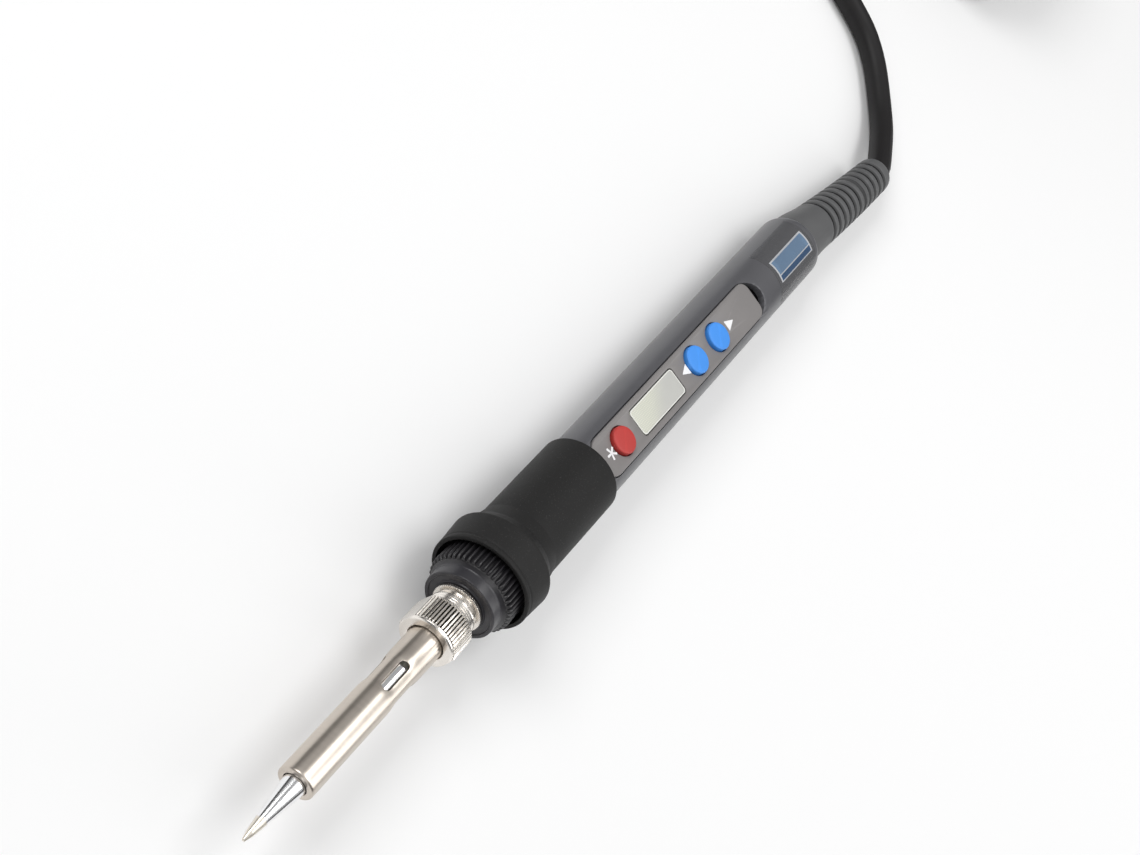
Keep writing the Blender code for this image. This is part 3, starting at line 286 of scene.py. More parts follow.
def make_dot_lattice():
    """Small round dots in a honeycomb: 1 in a dot, 0 outside."""
    made, tree, given, result = group(
        "Dot lattice",
        [("Vector", VECTOR, None), ("Pitch", FLOAT, 0.001), ("Size", FLOAT, 0.3)],
        [("Dots", FLOAT)],
    )
    flat = tree.scaled(given["Vector"], (1.0, 1.0, 0.0))
    shared = {0: flat, "Scale": tree.math("DIVIDE", 1.0, given["Pitch"])}
    cells = tree.add("ShaderNodeVectorMath", shared, operation="SCALE")
    row = 0.8660254  # half a honeycomb cell's height, where its half width is 0.5
    high = (0.5, row, 1.0)
    low = tuple(-value for value in high)
    distances = []
    for offset in ((0.0, 0.0, 0.0), (0.5, row, 0.0)):
        moved = tree.add("ShaderNodeVectorMath", {0: cells, 1: offset}, operation="ADD")
        near = tree.add("ShaderNodeVectorMath", {0: moved, 1: high, 2: low}, operation="WRAP")
        distances.append(tree.add("ShaderNodeVectorMath", {0: near}, "Value", operation="LENGTH"))
    nearest = tree.math("MINIMUM", *distances)
    edge = tree.math("ADD", given["Size"], 0.06)
    tree.put(result["Dots"], tree.math("SUBTRACT", 1.0, tree.step(nearest, given["Size"], edge)))
    return made


GROUP_MAKERS = {
    "Fine grain": make_fine_grain,
    "Edge wear and hollow shade": make_wear_and_shade,
    "Turned lines": make_turned_lines,
    "Depth from axis": make_axis_depth,
    "Handling": make_handling,
    "Dot lattice": make_dot_lattice,
}


class Finish:
    """A material under construction: a Principled BSDF, its tree, and the object's own coordinates."""

    def __init__(self, name, **sockets):
        self.material = bpy.data.materials.new(name)
        self.material.use_nodes = True
        self.tree = Tree(self.material.node_tree)
        self.shader = self.material.node_tree.nodes["Principled BSDF"]
        for socket, value in sockets.items():
            self.set(socket.replace("_", " "), value)
        self.place = self.tree.add("ShaderNodeTexCoord", output="Object")

    def set(self, socket, value):
        if socket.endswith("Color") and not isinstance(value, bpy.types.NodeSocket):
            value = (*value, 1.0)
        self.tree.put(self.shader.inputs[socket], value)

    def use(self, name, **inputs):
        node = self.tree.tree.nodes.new("ShaderNodeGroup")
        node.node_tree = bpy.data.node_groups.get(name) or GROUP_MAKERS[name]()
        self.tree.put(node.inputs["Vector"], self.place)
        for socket, value in inputs.items():
            self.tree.put(node.inputs[socket.replace("_", " ")], value)
        return node.outputs

    def bump(self, height, distance_mm, strength=1.0):
        inputs = {"Height": height, "Distance": distance_mm * MM, "Strength": strength}
        self.set("Normal", self.tree.add("ShaderNodeBump", inputs))

    def overlay(self, mask, tint):
        """Lays a colour over the finish's own where the mask is 1."""
        old = self.shader.inputs["Base Color"].links[0].from_socket
        self.set("Base Color", self.tree.mix(mask, old, tint))

    def between(self, low, high, factor):
        """A number that runs from low to high with the factor."""
        inputs = {"Value": factor, "To Min": low, "To Max": high}
        return self.tree.add("ShaderNodeMapRange", inputs)


def shade(base, factor):
    return tuple(min(1.0, channel * factor) for channel in base)


# how light or dark a finish gets beside its own colour, and how fully its edges and hollows take it; the
# hollows are darkened as painted shade
MOTTLE_DARK, MOTTLE_LIGHT = 0.88, 1.13
STREAK_DARK, STREAK_LIGHT = 0.90, 1.08
SPECKLE_LIGHT = 2.6
MOULDED_HOLLOW_SHADE, METAL_HOLLOW_SHADE = 0.30, 0.35
EDGE_SHARE, HOLLOW_SHADE_SHARE = 0.55, 0.8


def moulded(name, base, roughness=0.5, grain=2600.0, grain_mm=0.02, speckle=0.0, worn=1.35, **sockets):
    """Moulded plastic or rubber: fine grain, a slow mottle, rubbed edges, painted shade in its hollows,
    smudges.

    grain is in grains per metre and grain_mm is their height. worn is how much lighter a rubbed edge is.
    """
    finish = Finish(name, **sockets)
    base = tuple(base)
    texture = finish.use("Fine grain", Grain_per_metre=grain)
    wear = finish.use("Edge wear and hollow shade")
    touch = finish.use("Handling")
    mottled = finish.tree.mix(texture["Mottle"], shade(base, MOTTLE_DARK), shade(base, MOTTLE_LIGHT))
    if speckle:
        spots = finish.tree.math("MULTIPLY", texture["Speckle"], speckle)
        mottled = finish.tree.mix(spots, mottled, shade(base, SPECKLE_LIGHT))
    worn_edges = finish.tree.math("MULTIPLY", wear["Edges"], EDGE_SHARE)
    edged = finish.tree.mix(worn_edges, mottled, shade(base, worn))
    # painted shade: the hollows darkened towards 0.3 of the colour
    hollow_shade = finish.tree.math("MULTIPLY", wear["Shaded hollows"], HOLLOW_SHADE_SHARE)
    finish.set("Base Color", finish.tree.mix(hollow_shade, edged, shade(base, MOULDED_HOLLOW_SHADE)))
    finish.set("Roughness", finish.between(roughness - 0.07, roughness + 0.08, touch["Smudge"]))
    finish.bump(texture["Height"], grain_mm)
    return finish


def metal(name, base, roughness, rings=9000.0, line_mm=0.004, shade_strength=0.8, **sockets):
    """Turned and plated metal: fine rings per metre, their height in mm, and how strong the painted shade in
    its hollows is.
    """
    finish = Finish(name, Metallic=1.0, **sockets)
    base = tuple(base)
    lines = finish.use("Turned lines", Rings_per_metre=rings)
    wear = finish.use("Edge wear and hollow shade")
    streaked = finish.tree.mix(lines["Streak"], shade(base, STREAK_DARK), shade(base, STREAK_LIGHT))
    # painted shade: the hollows darkened towards 0.35 of the colour
    hollow_shade = finish.tree.math("MULTIPLY", wear["Shaded hollows"], shade_strength)
    finish.set("Base Color", finish.tree.mix(hollow_shade, streaked, shade(base, METAL_HOLLOW_SHADE)))
    finish.set("Roughness", finish.between(roughness - 0.05, roughness + 0.07, lines["Streak"]))
    finish.bump(lines["Height"], line_mm)
    return finish


# ---------------------------------------------------------------- shapes


def rounded(corners, steps=5, closed=True):
    """An outline of (a, b, fillet) corners, each turned into a curve where its fillet isn't 0."""
    outline = []
    count = len(corners)
    for i, (a, b, fillet) in enumerate(corners):
        here = Vector((a, b))
        at_end = not closed and i in (0, count - 1)
        if fillet <= 0 or at_end:
            outline.append(here)
            continue
        back = Vector(corners[i - 1][:2]) - here
        on = Vector(corners[(i + 1) % count][:2]) - here
        reach = fillet / math.tan(back.angle(on) / 2)
        start = here + back.normalized() * min(reach, 0.49 * back.length)
        end = here + on.normalized() * min(reach, 0.49 * on.length)
        for k in range(steps + 1):
            t = k / steps
            outline.append((1 - t) ** 2 * start + 2 * t * (1 - t) * here + t**2 * end)
    return outline


def sliced(outline, longest):
    """The outline with its long edges cut into shorter ones."""
    points = []
    for first, second in zip(outline, outline[1:] + outline[:1]):
        count = max(1, math.ceil((second - first).length / longest))
        points += [first.lerp(second, i / count) for i in range(count)]
    return points


def turned(profile, sides=96, relief=None, frame_at=None):
    """A mesh turned round X from (x, radius) points in mm, closed on itself or ended on the axis.

    relief(x, angle, radius) gives a point's own radius. frame_at(x) bends the axis.
    """
    bm = bmesh.new()
    rings = []
    for x, radius in profile:
        place = frame_at(x) if frame_at else Matrix.Translation((x, 0, 0))
        if radius <= 0:
            rings.append([bm.verts.new(place @ Vector((0, 0, 0)))] * sides)
            continue
        loop = []
        for i in range(sides):
            angle = 2 * math.pi * i / sides
            r = relief(x, angle, radius) if relief else radius
            loop.append(bm.verts.new(place @ Vector((0, r * math.sin(angle), r * math.cos(angle)))))
        rings.append(loop)
    if profile[0][1] > 0:
        rings.append(rings[0])
    for first, second in zip(rings, rings[1:]):
        for i in range(sides):
            corners = dict.fromkeys((first[i], first[i - 1], second[i - 1], second[i]))
            if len(corners) > 2:
                bm.faces.new(tuple(corners))
    return bm


def arc(centre, radius, start, end, steps):
    turns = (math.radians(start + (end - start) * i / steps) for i in range(steps + 1))
    return [Vector((centre[0] + radius * math.cos(a), centre[1] + radius * math.sin(a))) for a in turns]


def shrunk(outline, by):
    """The outline moved inward by a distance, its points kept."""
    points = []
    for before, here, after in zip(outline[-1:] + outline[:-1], outline, outline[1:] + outline[:1]):
        one = (here - before).normalized()
        two = (after - here).normalized()
        normal = Vector((-(one.y + two.y), one.x + two.x)).normalized()
        lean = max(0.3, normal.dot(Vector((-one.y, one.x))))
        points.append(here + normal * by / lean)
    return points


def skin(bm, loops):
    """Faces between each loop of points and the next."""
    for first, second in zip(loops, loops[1:]):
        for i in range(len(first)):
            bm.faces.new((first[i - 1], first[i], second[i], second[i - 1]))


def slab(outline, bottom, top, edge=0.0, steps=4):
    """An outline of points, anticlockwise, as a slab with its top and bottom edges rounded."""
    bm = bmesh.new()
    levels = []
    if edge:
        for k in range(steps + 1):
            angle = math.pi / 2 * k / steps
            levels.append((edge * (1 - math.sin(angle)), bottom + edge * (1 - math.cos(angle))))
        levels += [(inset, top - (height - bottom)) for inset, height in reversed(levels)]
    else:
        levels = [(0.0, bottom), (0.0, top)]
    loops = [[bm.verts.new((*p, height)) for p in shrunk(outline, inset)] for inset, height in levels]
    skin(bm, loops)
    bm.faces.new(loops[0])
    bm.faces.new(loops[-1])
    return bm


def placed(name, bm, finish=None, place=None, sharp=40):
    """The mesh, drawn in mm, as an object in the iron's frame or at another place."""
    bmesh.ops.remove_doubles(bm, verts=bm.verts, dist=1e-5)
    bmesh.ops.recalc_face_normals(bm, faces=bm.faces)
    bmesh.ops.scale(bm, vec=(MM, MM, MM), verts=bm.verts)
    mesh = bpy.data.meshes.new(name)
    bm.to_mesh(mesh)
    bm.free()
    mesh.shade_smooth()
    mesh.set_sharp_from_angle(angle=math.radians(sharp))
    if finish:
        mesh.materials.append(finish.material)
    obj = bpy.data.objects.new(name, mesh)
    bpy.context.scene.collection.objects.link(obj)
    obj.matrix_world = IRON if place is None else place
    return obj


def add_piece(name, shape, finish, body="handle", stands_for=(), place=None, sharp=40):
    """A finished piece: placed, riding on its body and the CAD nodes it stands for."""
    obj = shape if isinstance(shape, bpy.types.Object) else placed(name, shape, finish, place, sharp)
    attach(obj, body)
    if stands_for:
        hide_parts(*stands_for)
    return obj


def carve(obj, cutters, edge=0.0, sharp=40, segments=3, joins=()):
    """Cuts and joins shapes for good, then rounds the new edges."""
    for operation, others in (("DIFFERENCE", cutters), ("UNION", joins)):
        for other in others:
            change = obj.modifiers.new(other.name, "BOOLEAN")
            change.operation = operation
            change.solver = "EXACT"
            change.object = other
    if edge:
        bevel = obj.modifiers.new("edge", "BEVEL")
        bevel.width = edge * MM
        bevel.segments = segments
        bevel.limit_method = "ANGLE"
        bevel.angle_limit = math.radians(sharp)
        bevel.use_clamp_overlap = True
        bevel.harden_normals = True
    bpy.context.view_layer.update()
    graph = bpy.context.evaluated_depsgraph_get()
    mesh = bpy.data.meshes.new_from_object(obj.evaluated_get(graph), depsgraph=graph)
    obj.modifiers.clear()
    obj.data = mesh
    mesh.shade_smooth()
    mesh.set_sharp_from_angle(angle=math.radians(sharp))
    for other in (*cutters, *joins):
        bpy.data.objects.remove(other, do_unlink=True)
    return obj


def smooth_line(points, spacing):
    """Evenly spaced points on a Catmull-Rom curve through the given ones."""
    places = [Vector(point) for point in points]
    ends = [2 * places[0] - places[1]] + places + [2 * places[-1] - places[-2]]
    dense = []
    for before, start, end, after in zip(ends, ends[1:], ends[2:], ends[3:]):
        for i in range(24):
            t = i / 24
            bend = 2 * before - 5 * start + 4 * end - after
            twist = 3 * start - before - 3 * end + after
            dense.append(0.5 * (2 * start + (end - before) * t + bend * t**2 + twist * t**3))
    dense.append(places[-1])
    lengths = [0.0]
    for first, second in zip(dense, dense[1:]):
        lengths.append(lengths[-1] + (second - first).length)
    count = max(2, round(lengths[-1] / spacing))
    line = []
    at = 0
    for i in range(count + 1):
        wanted = lengths[-1] * i / count
        while at < len(dense) - 2 and lengths[at + 1] < wanted:
            at += 1
        share = (wanted - lengths[at]) / max(1e-9, lengths[at + 1] - lengths[at])
        line.append(dense[at].lerp(dense[at + 1], share))
    return line


def smoothly(value, low=0.0, high=1.0):
    t = min(1.0, max(0.0, (value - low) / (high - low)))
    return t * t * (3 - 2 * t)


# ---------------------------------------------------------------- stage

CAMERA_PLACE = (224.6, -82.0, 298.3)  # mm, in the iron's frame
CAMERA_FORWARD = (-0.677, 0.174, -0.715)
CAMERA_UP = (-0.532, -0.787, 0.312)
CAMERA_LENS = 55.95  # mm, on a sensor 36 mm wide


class IRON_OT_camera(bpy.types.Operator):
    """Places the camera over the tip, looking back along the iron"""

    bl_idname = "iron.camera"
    bl_label = "Place the camera"

    def execute(self, context):
        turn = IRON.to_3x3()
        forward = (turn @ Vector(CAMERA_FORWARD)).normalized()
        right = forward.cross(turn @ Vector(CAMERA_UP)).normalized()
        up = right.cross(forward)
        data = bpy.data.cameras.new("camera")
        data.lens = CAMERA_LENS
        data.sensor_width = 36.0
        data.clip_start = 0.01
        camera = bpy.data.objects.new("camera", data)
        context.scene.collection.objects.link(camera)
        axes = Matrix((right, up, -forward)).transposed().to_4x4()
        camera.matrix_world = Matrix.Translation(IRON @ (Vector(CAMERA_PLACE) * MM)) @ axes
        context.scene.camera = camera
        context.scene.view_settings.view_transform = "Standard"
        return {"FINISHED"}


FLOOR_HALF = 3000.0  # mm
SKY_LOW, SKY_HIGH = (0.10, 0.10, 0.105), (1.0, 1.0, 1.0)
SKY_RISE = (0.08, 0.62)  # the heights between which the low sky turns into the high one
SKY_STRENGTH = 0.38
LIGHTS = (  # name, place, target, width, height, watts
    ("key_light", (0.15, -0.75, 0.75), (-0.02, 0.0, 0.0), 0.5, 0.5, 4.2),
    ("top_light", (-0.25, 0.15, 0.95), (0.0, 0.0, 0.0), 0.7, 0.4, 3.6),
    ("rim_light", (-0.35, 0.75, 0.55), (0.0, 0.0, 0.0), 0.3, 0.8, 2.2),
    ("nose_light", (0.75, 0.1, 0.45), (0.06, 0.0, 0.02), 0.3, 0.5, 1.0),
)


class IRON_OT_stage(bpy.types.Operator):
    """Lays the pale floor and hangs the soft lights"""

    bl_idname = "iron.stage"
    bl_label = "Build the stage"

    def execute(self, context):
        base = tuple(finishes().bench)
        finish = Finish("bench_paper", Specular_IOR_Level=0.2)
        texture = finish.use("Fine grain", Grain_per_metre=900.0, Mottle_per_metre=3.0)
        finish.set("Base Color", finish.tree.mix(texture["Mottle"], shade(base, 0.99), shade(base, 1.01)))
        finish.set("Roughness", finish.between(0.8, 0.9, texture["Mottle"]))
        bm = bmesh.new()
        bmesh.ops.create_grid(bm, x_segments=8, y_segments=8, size=FLOOR_HALF)
        placed("bench", bm, finish, BENCH)
        world = bpy.data.worlds.new("studio")
        world.use_nodes = True
        sky = world.node_tree.nodes["Background"]
        studio = Tree(world.node_tree)
        direction = studio.add("ShaderNodeTexCoord", output="Generated")
        height = studio.step(studio.part(direction, "Z"), *SKY_RISE)
        studio.put(sky.inputs["Color"], studio.mix(height, SKY_LOW, SKY_HIGH))
        sky.inputs["Strength"].default_value = SKY_STRENGTH
        context.scene.world = world
        for name, place, target, width, height, watts in LIGHTS:
            data = bpy.data.lights.new(name, "AREA")
            data.shape = "RECTANGLE"
            data.size = width
            data.size_y = height
            data.energy = watts
            light = bpy.data.objects.new(name, data)
            context.scene.collection.objects.link(light)
            light.location = place
            light.rotation_euler = (Vector(target) - Vector(place)).to_track_quat("-Z", "Y").to_euler()
        return {"FINISHED"}


# ---------------------------------------------------------------- cord

CORD_RADIUS = 0.0036
CORD_POINT_SPACING = 0.0032
ROUTE = (  # the cord's centre line on the bench, from past the strain relief to the hank
    (-0.1585, 0.0013, 0.0062),
    (-0.1672, -0.0026, 0.0048),
    (-0.1738, -0.0069, 0.0039),
    (-0.1794, -0.0119, 0.0037),
    (-0.1844, -0.0170, 0.0037),
    (-0.1885, -0.0225, 0.0037),
    (-0.1916, -0.0287, 0.0037),
    (-0.1932, -0.0357, 0.0037),
    (-0.1950, -0.0470, 0.0037),
    (-0.1995, -0.0560, 0.0037),
    (-0.2070, -0.0630, 0.0037),
    (-0.2165, -0.0673, 0.0037),
    (-0.2275, -0.0689, 0.0040),
    (-0.2400, -0.0692, 0.0044),
    (-0.2500, -0.0692, 0.0047),
    (-0.2640, -0.0692, 0.0047),
)
HOUSING_REAR = -167.0  # mm, as the strain relief's sizes are
BOOT_LENGTH = 53.2
BOOT_BEND_START = 6.0
BOOT_LEAN = 0.125  # its slope to the side past the bend's start
BOOT_STRAIGHTENING = 0.00066  # how fast that slope goes back to 0, per mm
FOLD_STEPS = 16
TURN_LANES = ("outer", "inner", "inner", "outer", "outer", "inner")
TURN_LAYERS = (0, 0, 1, 1, 2, 2)
# at the near fold, where each turn rises a layer and where it changes lane, as shares of the fold
LIFT_WINDOWS = ((0, 1), (0.25, 0.75), (0, 1), (0.0, 0.5), (0, 1), (0, 1))
SHIFT_WINDOWS = ((0.5, 1.0), (0, 1), (0.0, 0.5), (0, 1), (0.0, 0.42), (0, 1))
BULGES = (0.0, 0.0, 0.0, 0.0035, 0.0, 0.0)  # how far a turn swings out there


def boot_frame(distance):
    """The frame on the strain relief's centre line, at a distance in mm from the housing."""
    outside = max(0.0, distance)
    start = min(outside, BOOT_BEND_START)
    slope = BOOT_LEAN * start / BOOT_BEND_START - 2 * BOOT_STRAIGHTENING * outside
    side = BOOT_LEAN * (start**2 / (2 * BOOT_BEND_START) + outside - start) - BOOT_STRAIGHTENING * outside**2
    turn = Matrix.Rotation(-math.atan(slope), 4, "Z")
    return Matrix.Translation((HOUSING_REAR - distance, side, 0)) @ turn


def hank_points(low, high):
    """The wound turns inside the hank's box, from its low side, and their last lift over the tie."""
    middle = (low.y + high.y) / 2
    half = (high.y - low.y) / 2
    near = high.x - half
    far = low.x + half
    lanes = {"outer": half - CORD_RADIUS, "inner": half - 3 * CORD_RADIUS}
    floor = low.z + CORD_RADIUS
    points = []
    for turn, (lane, layer) in enumerate(zip(TURN_LANES, TURN_LAYERS)):
        radius = lanes[lane]
        z = floor + 2 * CORD_RADIUS * layer
        last = turn == len(TURN_LANES) - 1
        points += [(near, middle - radius, z), ((near + far) / 2, middle - radius, z)]
        lift = OVER_TIE - z if last else 0.0
        out = lanes["outer"] - radius if last else 0.0
        for k in range(FOLD_STEPS + 1):
            share = k / FOLD_STEPS
            r = radius + out * smoothly(share, 0.4, 0.95)
            height = z + lift * smoothly(share, 0.1, 0.6)
            angle = -math.pi / 2 - math.pi * share
            points.append((far + r * math.cos(angle), middle + r * math.sin(angle), height))
        if last:
            break
        points.append(((near + far) / 2, middle + radius, z))
        next_radius = lanes[TURN_LANES[turn + 1]]
        next_z = floor + 2 * CORD_RADIUS * TURN_LAYERS[turn + 1]
        for k in range(FOLD_STEPS):
            share = k / FOLD_STEPS
            r = radius + (next_radius - radius) * smoothly(share, *SHIFT_WINDOWS[turn])
            r += BULGES[turn] * math.sin(math.pi * min(1.0, 2 * share))
            height = z + (next_z - z) * smoothly(share, *LIFT_WINDOWS[turn])
            angle = math.pi / 2 - math.pi * share
            points.append((near + r * math.cos(angle), middle + r * math.sin(angle), height))
    return points


OVER_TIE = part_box("cord_tie")[1].z + CORD_RADIUS + 0.0003  # the height at which the cord crosses its tie


def tail_points(low, high, plug_low, plug_high):
    """From over the tie, round the near fold and down into the plug."""
    half = (high.y - low.y) / 2
    near = high.x - half
    lane = high.y - CORD_RADIUS
    plug_y = (plug_low.y + plug_high.y) / 2
    plug_z = (plug_low.z + plug_high.z) / 2
    fold = (lane - plug_y) / 2
    over_tie = (low.x + high.x) / 2
    points = [(over_tie, lane, OVER_TIE), (over_tie + 0.009, lane, OVER_TIE)]
    steps = 12
    for i in range(1, steps):
        share = i / steps
        angle = math.pi * share
        z = OVER_TIE + (plug_z - OVER_TIE) * smoothly(share)
        points.append((near + fold * math.sin(angle), lane - fold + fold * math.cos(angle), z))
    points.append((plug_high.x - 0.0012, plug_y, plug_z))
    return points


class IRON_OT_cord(bpy.types.Operator):
    """Lays the mains cord from the strain relief, through its hank and into the plug"""

    bl_idname = "iron.cord"
    bl_label = "Lay the cord"

    def execute(self, context):
        base = tuple(finishes().cord)
        finish = moulded(
            "cord_jacket", base, 0.5, grain=5200.0, grain_mm=0.012, worn=1.5, Specular_IOR_Level=0.25
        )
        low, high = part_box("cord_hank")
        plug_low, plug_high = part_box("plug_body")
        start = [IRON @ (boot_frame(BOOT_LENGTH + step).translation * MM) for step in (-1.5, 3.0)]
        rest = [*ROUTE, *hank_points(low, high)[1:], *tail_points(low, high, plug_low, plug_high)]
        line = smooth_line([*start, *rest], CORD_POINT_SPACING)
        curve = bpy.data.curves.new("mains_cord", "CURVE")
        curve.dimensions = "3D"
        curve.bevel_depth = CORD_RADIUS
        curve.bevel_resolution = 6
        curve.use_fill_caps = True
        spline = curve.splines.new("POLY")
        spline.points.add(len(line) - 1)
        for point, place in zip(spline.points, line):
            point.co = (*place, 1.0)
        spline.use_smooth = True
        curve.materials.append(finish.material)
        cord = bpy.data.objects.new("mains_cord", curve)
        context.scene.collection.objects.link(cord)
        nodes = ("power_cord", "cord_hank", "cord_tail")
        add_piece("mains_cord", cord, None, stands_for=nodes)
        plug = make_plug(plug_low, plug_high)
        tie = make_tie()
        return {"FINISHED"}


TIE_THICKNESS = 0.8
TIE_CORNER = 3.6
TIE_EDGE = 0.25  # the chamfer of the strap's edges, along the hank


def make_tie():
    """The strap round the hank, its edges eased."""
    finish = moulded("strap_weave", (0.02, 0.02, 0.021), 0.75, grain=7000.0, grain_mm=0.06)
    low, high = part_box("cord_tie")
    half = (high.x - low.x) / MM / 2
    ys, zs = (low.y / MM, high.y / MM), (low.z / MM, high.z / MM)

    def loop(inset, corner):
        sides = [(ys[0] + inset, zs[0] + inset), (ys[1] - inset, zs[0] + inset)]
        sides += [(ys[1] - inset, zs[1] - inset), (ys[0] + inset, zs[1] - inset)]
        return rounded([(a, b, corner) for a, b in sides], 6)

    outer, inner = loop(0.0, TIE_CORNER), loop(TIE_THICKNESS, TIE_CORNER - 0.7)
    bm = bmesh.new()
    loops = []
    stations = ((-half, 0.2), (-half + TIE_EDGE, 0.0), (half - TIE_EDGE, 0.0), (half, 0.2))
    inner_stations = ((half, 0.8), (half - TIE_EDGE, 1.0), (-half + TIE_EDGE, 1.0), (-half, 0.8))
    for x, share in stations + inner_stations:
        loops.append([bm.verts.new((x, *o.lerp(i, share))) for o, i in zip(outer, inner)])
    skin(bm, loops + loops[:1])
    centre = Matrix.Translation(((low.x + high.x) / 2, 0, 0))
    nodes = ("cord_tie",)
    return add_piece("hank_strap", bm, finish, stands_for=nodes, place=centre, sharp=60)


PLUG_RELIEF = 8.0  # mm of strain relief behind the plug's shell
PLUG_CORNER = 6.0
PLUG_RIBS = 6
PLUG_RIB_START = 11.0
PLUG_RIB_PITCH = 2.6
PLUG_STATIONS = 30.0  # the length that the shell's stations are written for
RELIEF_RIBS = 3
BLADE_HOLE_RADIUS = 1.6
BLADE_HOLE_STATION = 4.2
BLADE_TAPER = 1.2
BLADE_SHOULDER = 0.8


def make_plug_shell(low, high, finish):
    """The plug's moulded shell, with its ribbed grip, joined to its own strain relief."""
    front, rear = low.x / MM, high.x / MM - PLUG_RELIEF
    middle_y, middle_z = (low.y + high.y) / 2 / MM, (low.z + high.z) / 2 / MM
    half_y, half_z = (high.y - low.y) / 2 / MM, (high.z - low.z) / 2 / MM
    stations = [(0.0, 0.94), (0.6, 0.985), (1.6, 1.0), (9.0, 1.0), (10.0, 0.985)]
    for i in range(PLUG_RIBS):
        start = PLUG_RIB_START + i * PLUG_RIB_PITCH
        stations += [(start, 0.97), (start + 0.4, 0.925), (start + 1.0, 0.925), (start + 1.4, 0.97)]
    stations += [(27.6, 0.95), (29.0, 0.90), (PLUG_STATIONS, 0.80)]
    corners = [(-half_y, -half_z), (half_y, -half_z), (half_y, half_z), (-half_y, half_z)]
    outline = sliced(rounded([(a, b, PLUG_CORNER) for a, b in corners], 8), 1.5)
    bm = bmesh.new()
    loops = []
    for along, share in stations:
        x = front + along * (rear - front) / PLUG_STATIONS
        loops.append([bm.verts.new((x, middle_y + p.x * share, middle_z + p.y * share)) for p in outline])
    skin(bm, loops)
    bm.faces.new(loops[0])
    bm.faces.new(loops[-1])
    body = placed("plug_shell", bm, finish, BENCH)
    relief = [(-2.0, 0, 0), (-2.0, 7.4, 0), (0.4, 7.4, 0.6)]
    for i in range(RELIEF_RIBS):
        start = 1.0 + i * 2.1
        end = start + 0.7
        radius = 7.0 - 0.75 * i
        relief += [(start, radius, 0.2), (start, radius - 0.8, 0.2)]
        relief += [(end, radius - 0.85, 0.2), (end, radius, 0.2)]
    relief += [(PLUG_RELIEF, 4.9, 0.5), (PLUG_RELIEF, 0, 0)]
    place = Matrix.Translation((rear * MM, middle_y * MM, middle_z * MM))
    boot = placed("plug_relief", turned(rounded(relief, 3, closed=False), 48), finish, place)
    shell = carve(body, (), joins=(boot,))
    return add_piece("plug_shell", shell, None, stands_for=("plug_body",))


def make_plug_blade(name, finish):
    """A flat blade with its tapered end and its hole."""
    node = f"plug_{name}_blade"
    low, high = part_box(node)
    wide, thick = (high.z - low.z) / MM, (high.y - low.y) / MM
    bottom, side = low.z / MM, low.y / MM
    start, end = low.x / MM, high.x / MM + 0.5
    corners = [(start, bottom + BLADE_SHOULDER, 0.9), (start, bottom + wide - BLADE_SHOULDER, 0.9)]
    corners += [(start + BLADE_TAPER, bottom + wide, 0.9), (end, bottom + wide, 0)]
    corners += [(end, bottom, 0), (start + BLADE_TAPER, bottom, 0.9)]
    outline = [Vector(point) for point in rounded(corners, 3)]
    bm = slab(list(reversed(outline)), side, side + thick, 0.2, 3)
    for vertex in bm.verts:
        vertex.co = Vector((vertex.co.x, vertex.co.z, vertex.co.y))
    blade = placed(f"{name}_blade", bm, finish, BENCH)
    hole = turned([(-3, 0), (-3, BLADE_HOLE_RADIUS), (3, BLADE_HOLE_RADIUS), (3, 0)], 32)
    centre = Vector((start + BLADE_HOLE_STATION, side + thick / 2, bottom + wide / 2))
    for vertex in hole.verts:
        vertex.co = centre + Vector((vertex.co.z, vertex.co.x, vertex.co.y))
    carve(blade, (placed("blade_hole", hole, None, BENCH),))
    return add_piece(blade.name, blade, None, stands_for=(node,))


def make_plug(low, high):
    """The moulded plug and its two blades and earth pin."""
    finish = moulded("plug_moulding", tuple(finishes().plug), 0.42, grain=3800.0, grain_mm=0.02)
    brass = metal("plug_brass", (0.72, 0.58, 0.33), 0.24, rings=1500.0)
    pieces = [make_plug_shell(low, high, finish)]
    pieces += [make_plug_blade(name, brass) for name in ("live", "neutral")]
    low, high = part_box("plug_earth_pin")
    radius, long = (high.z - low.z) / 2 / MM, (high.x - low.x) / MM
    pin = rounded([(-long, 0, 0), (-long, radius, 2.2), (0.6, radius, 0), (0.6, 0, 0)], 8, closed=False)
    place = Matrix.Translation((high.x, (low.y + high.y) / 2, (low.z + high.z) / 2))
    nodes = ("plug_earth_pin",)
    pieces.append(add_piece("earth_pin", turned(pin, 40), brass, stands_for=nodes, place=place))
    return pieces


# ---------------------------------------------------------------- nose: tip, barrel, nut, ferrule

# every size from here on is in mm, and every station is counted from the collar's front face
BARREL_FRONT = 57.3
BARREL_REAR = 10.4
BARREL_RADIUS = 4.25
BARREL_INNER = 3.9
BARREL_LIP = 0.35  # its thickness
BARREL_LIP_HOLE = 2.85
BARREL_FLANGE = 5.45
BARREL_FLANGE_FRONT = 11.2
SLOTS = 4
SLOT_CENTRE = 26.3
SLOT_LENGTH = 8.4
SLOT_WIDTH = 2.4
SLOT_TURN = math.radians(13)
TIP_END = 73.0
TIP_REAR = 23.15
TIP_SHANK = 3.25  # its radius in the barrel
TIP_NECK = 2.65  # its radius where it leaves the barrel
TIP_BORE = 2.2
TIP_BORE_END = BARREL_FRONT + 6.2
TIP_SHOULDER = BARREL_FRONT - BARREL_LIP - 0.3
TINNED = (68.2, 68.8)  # between these stations the plating turns into tin


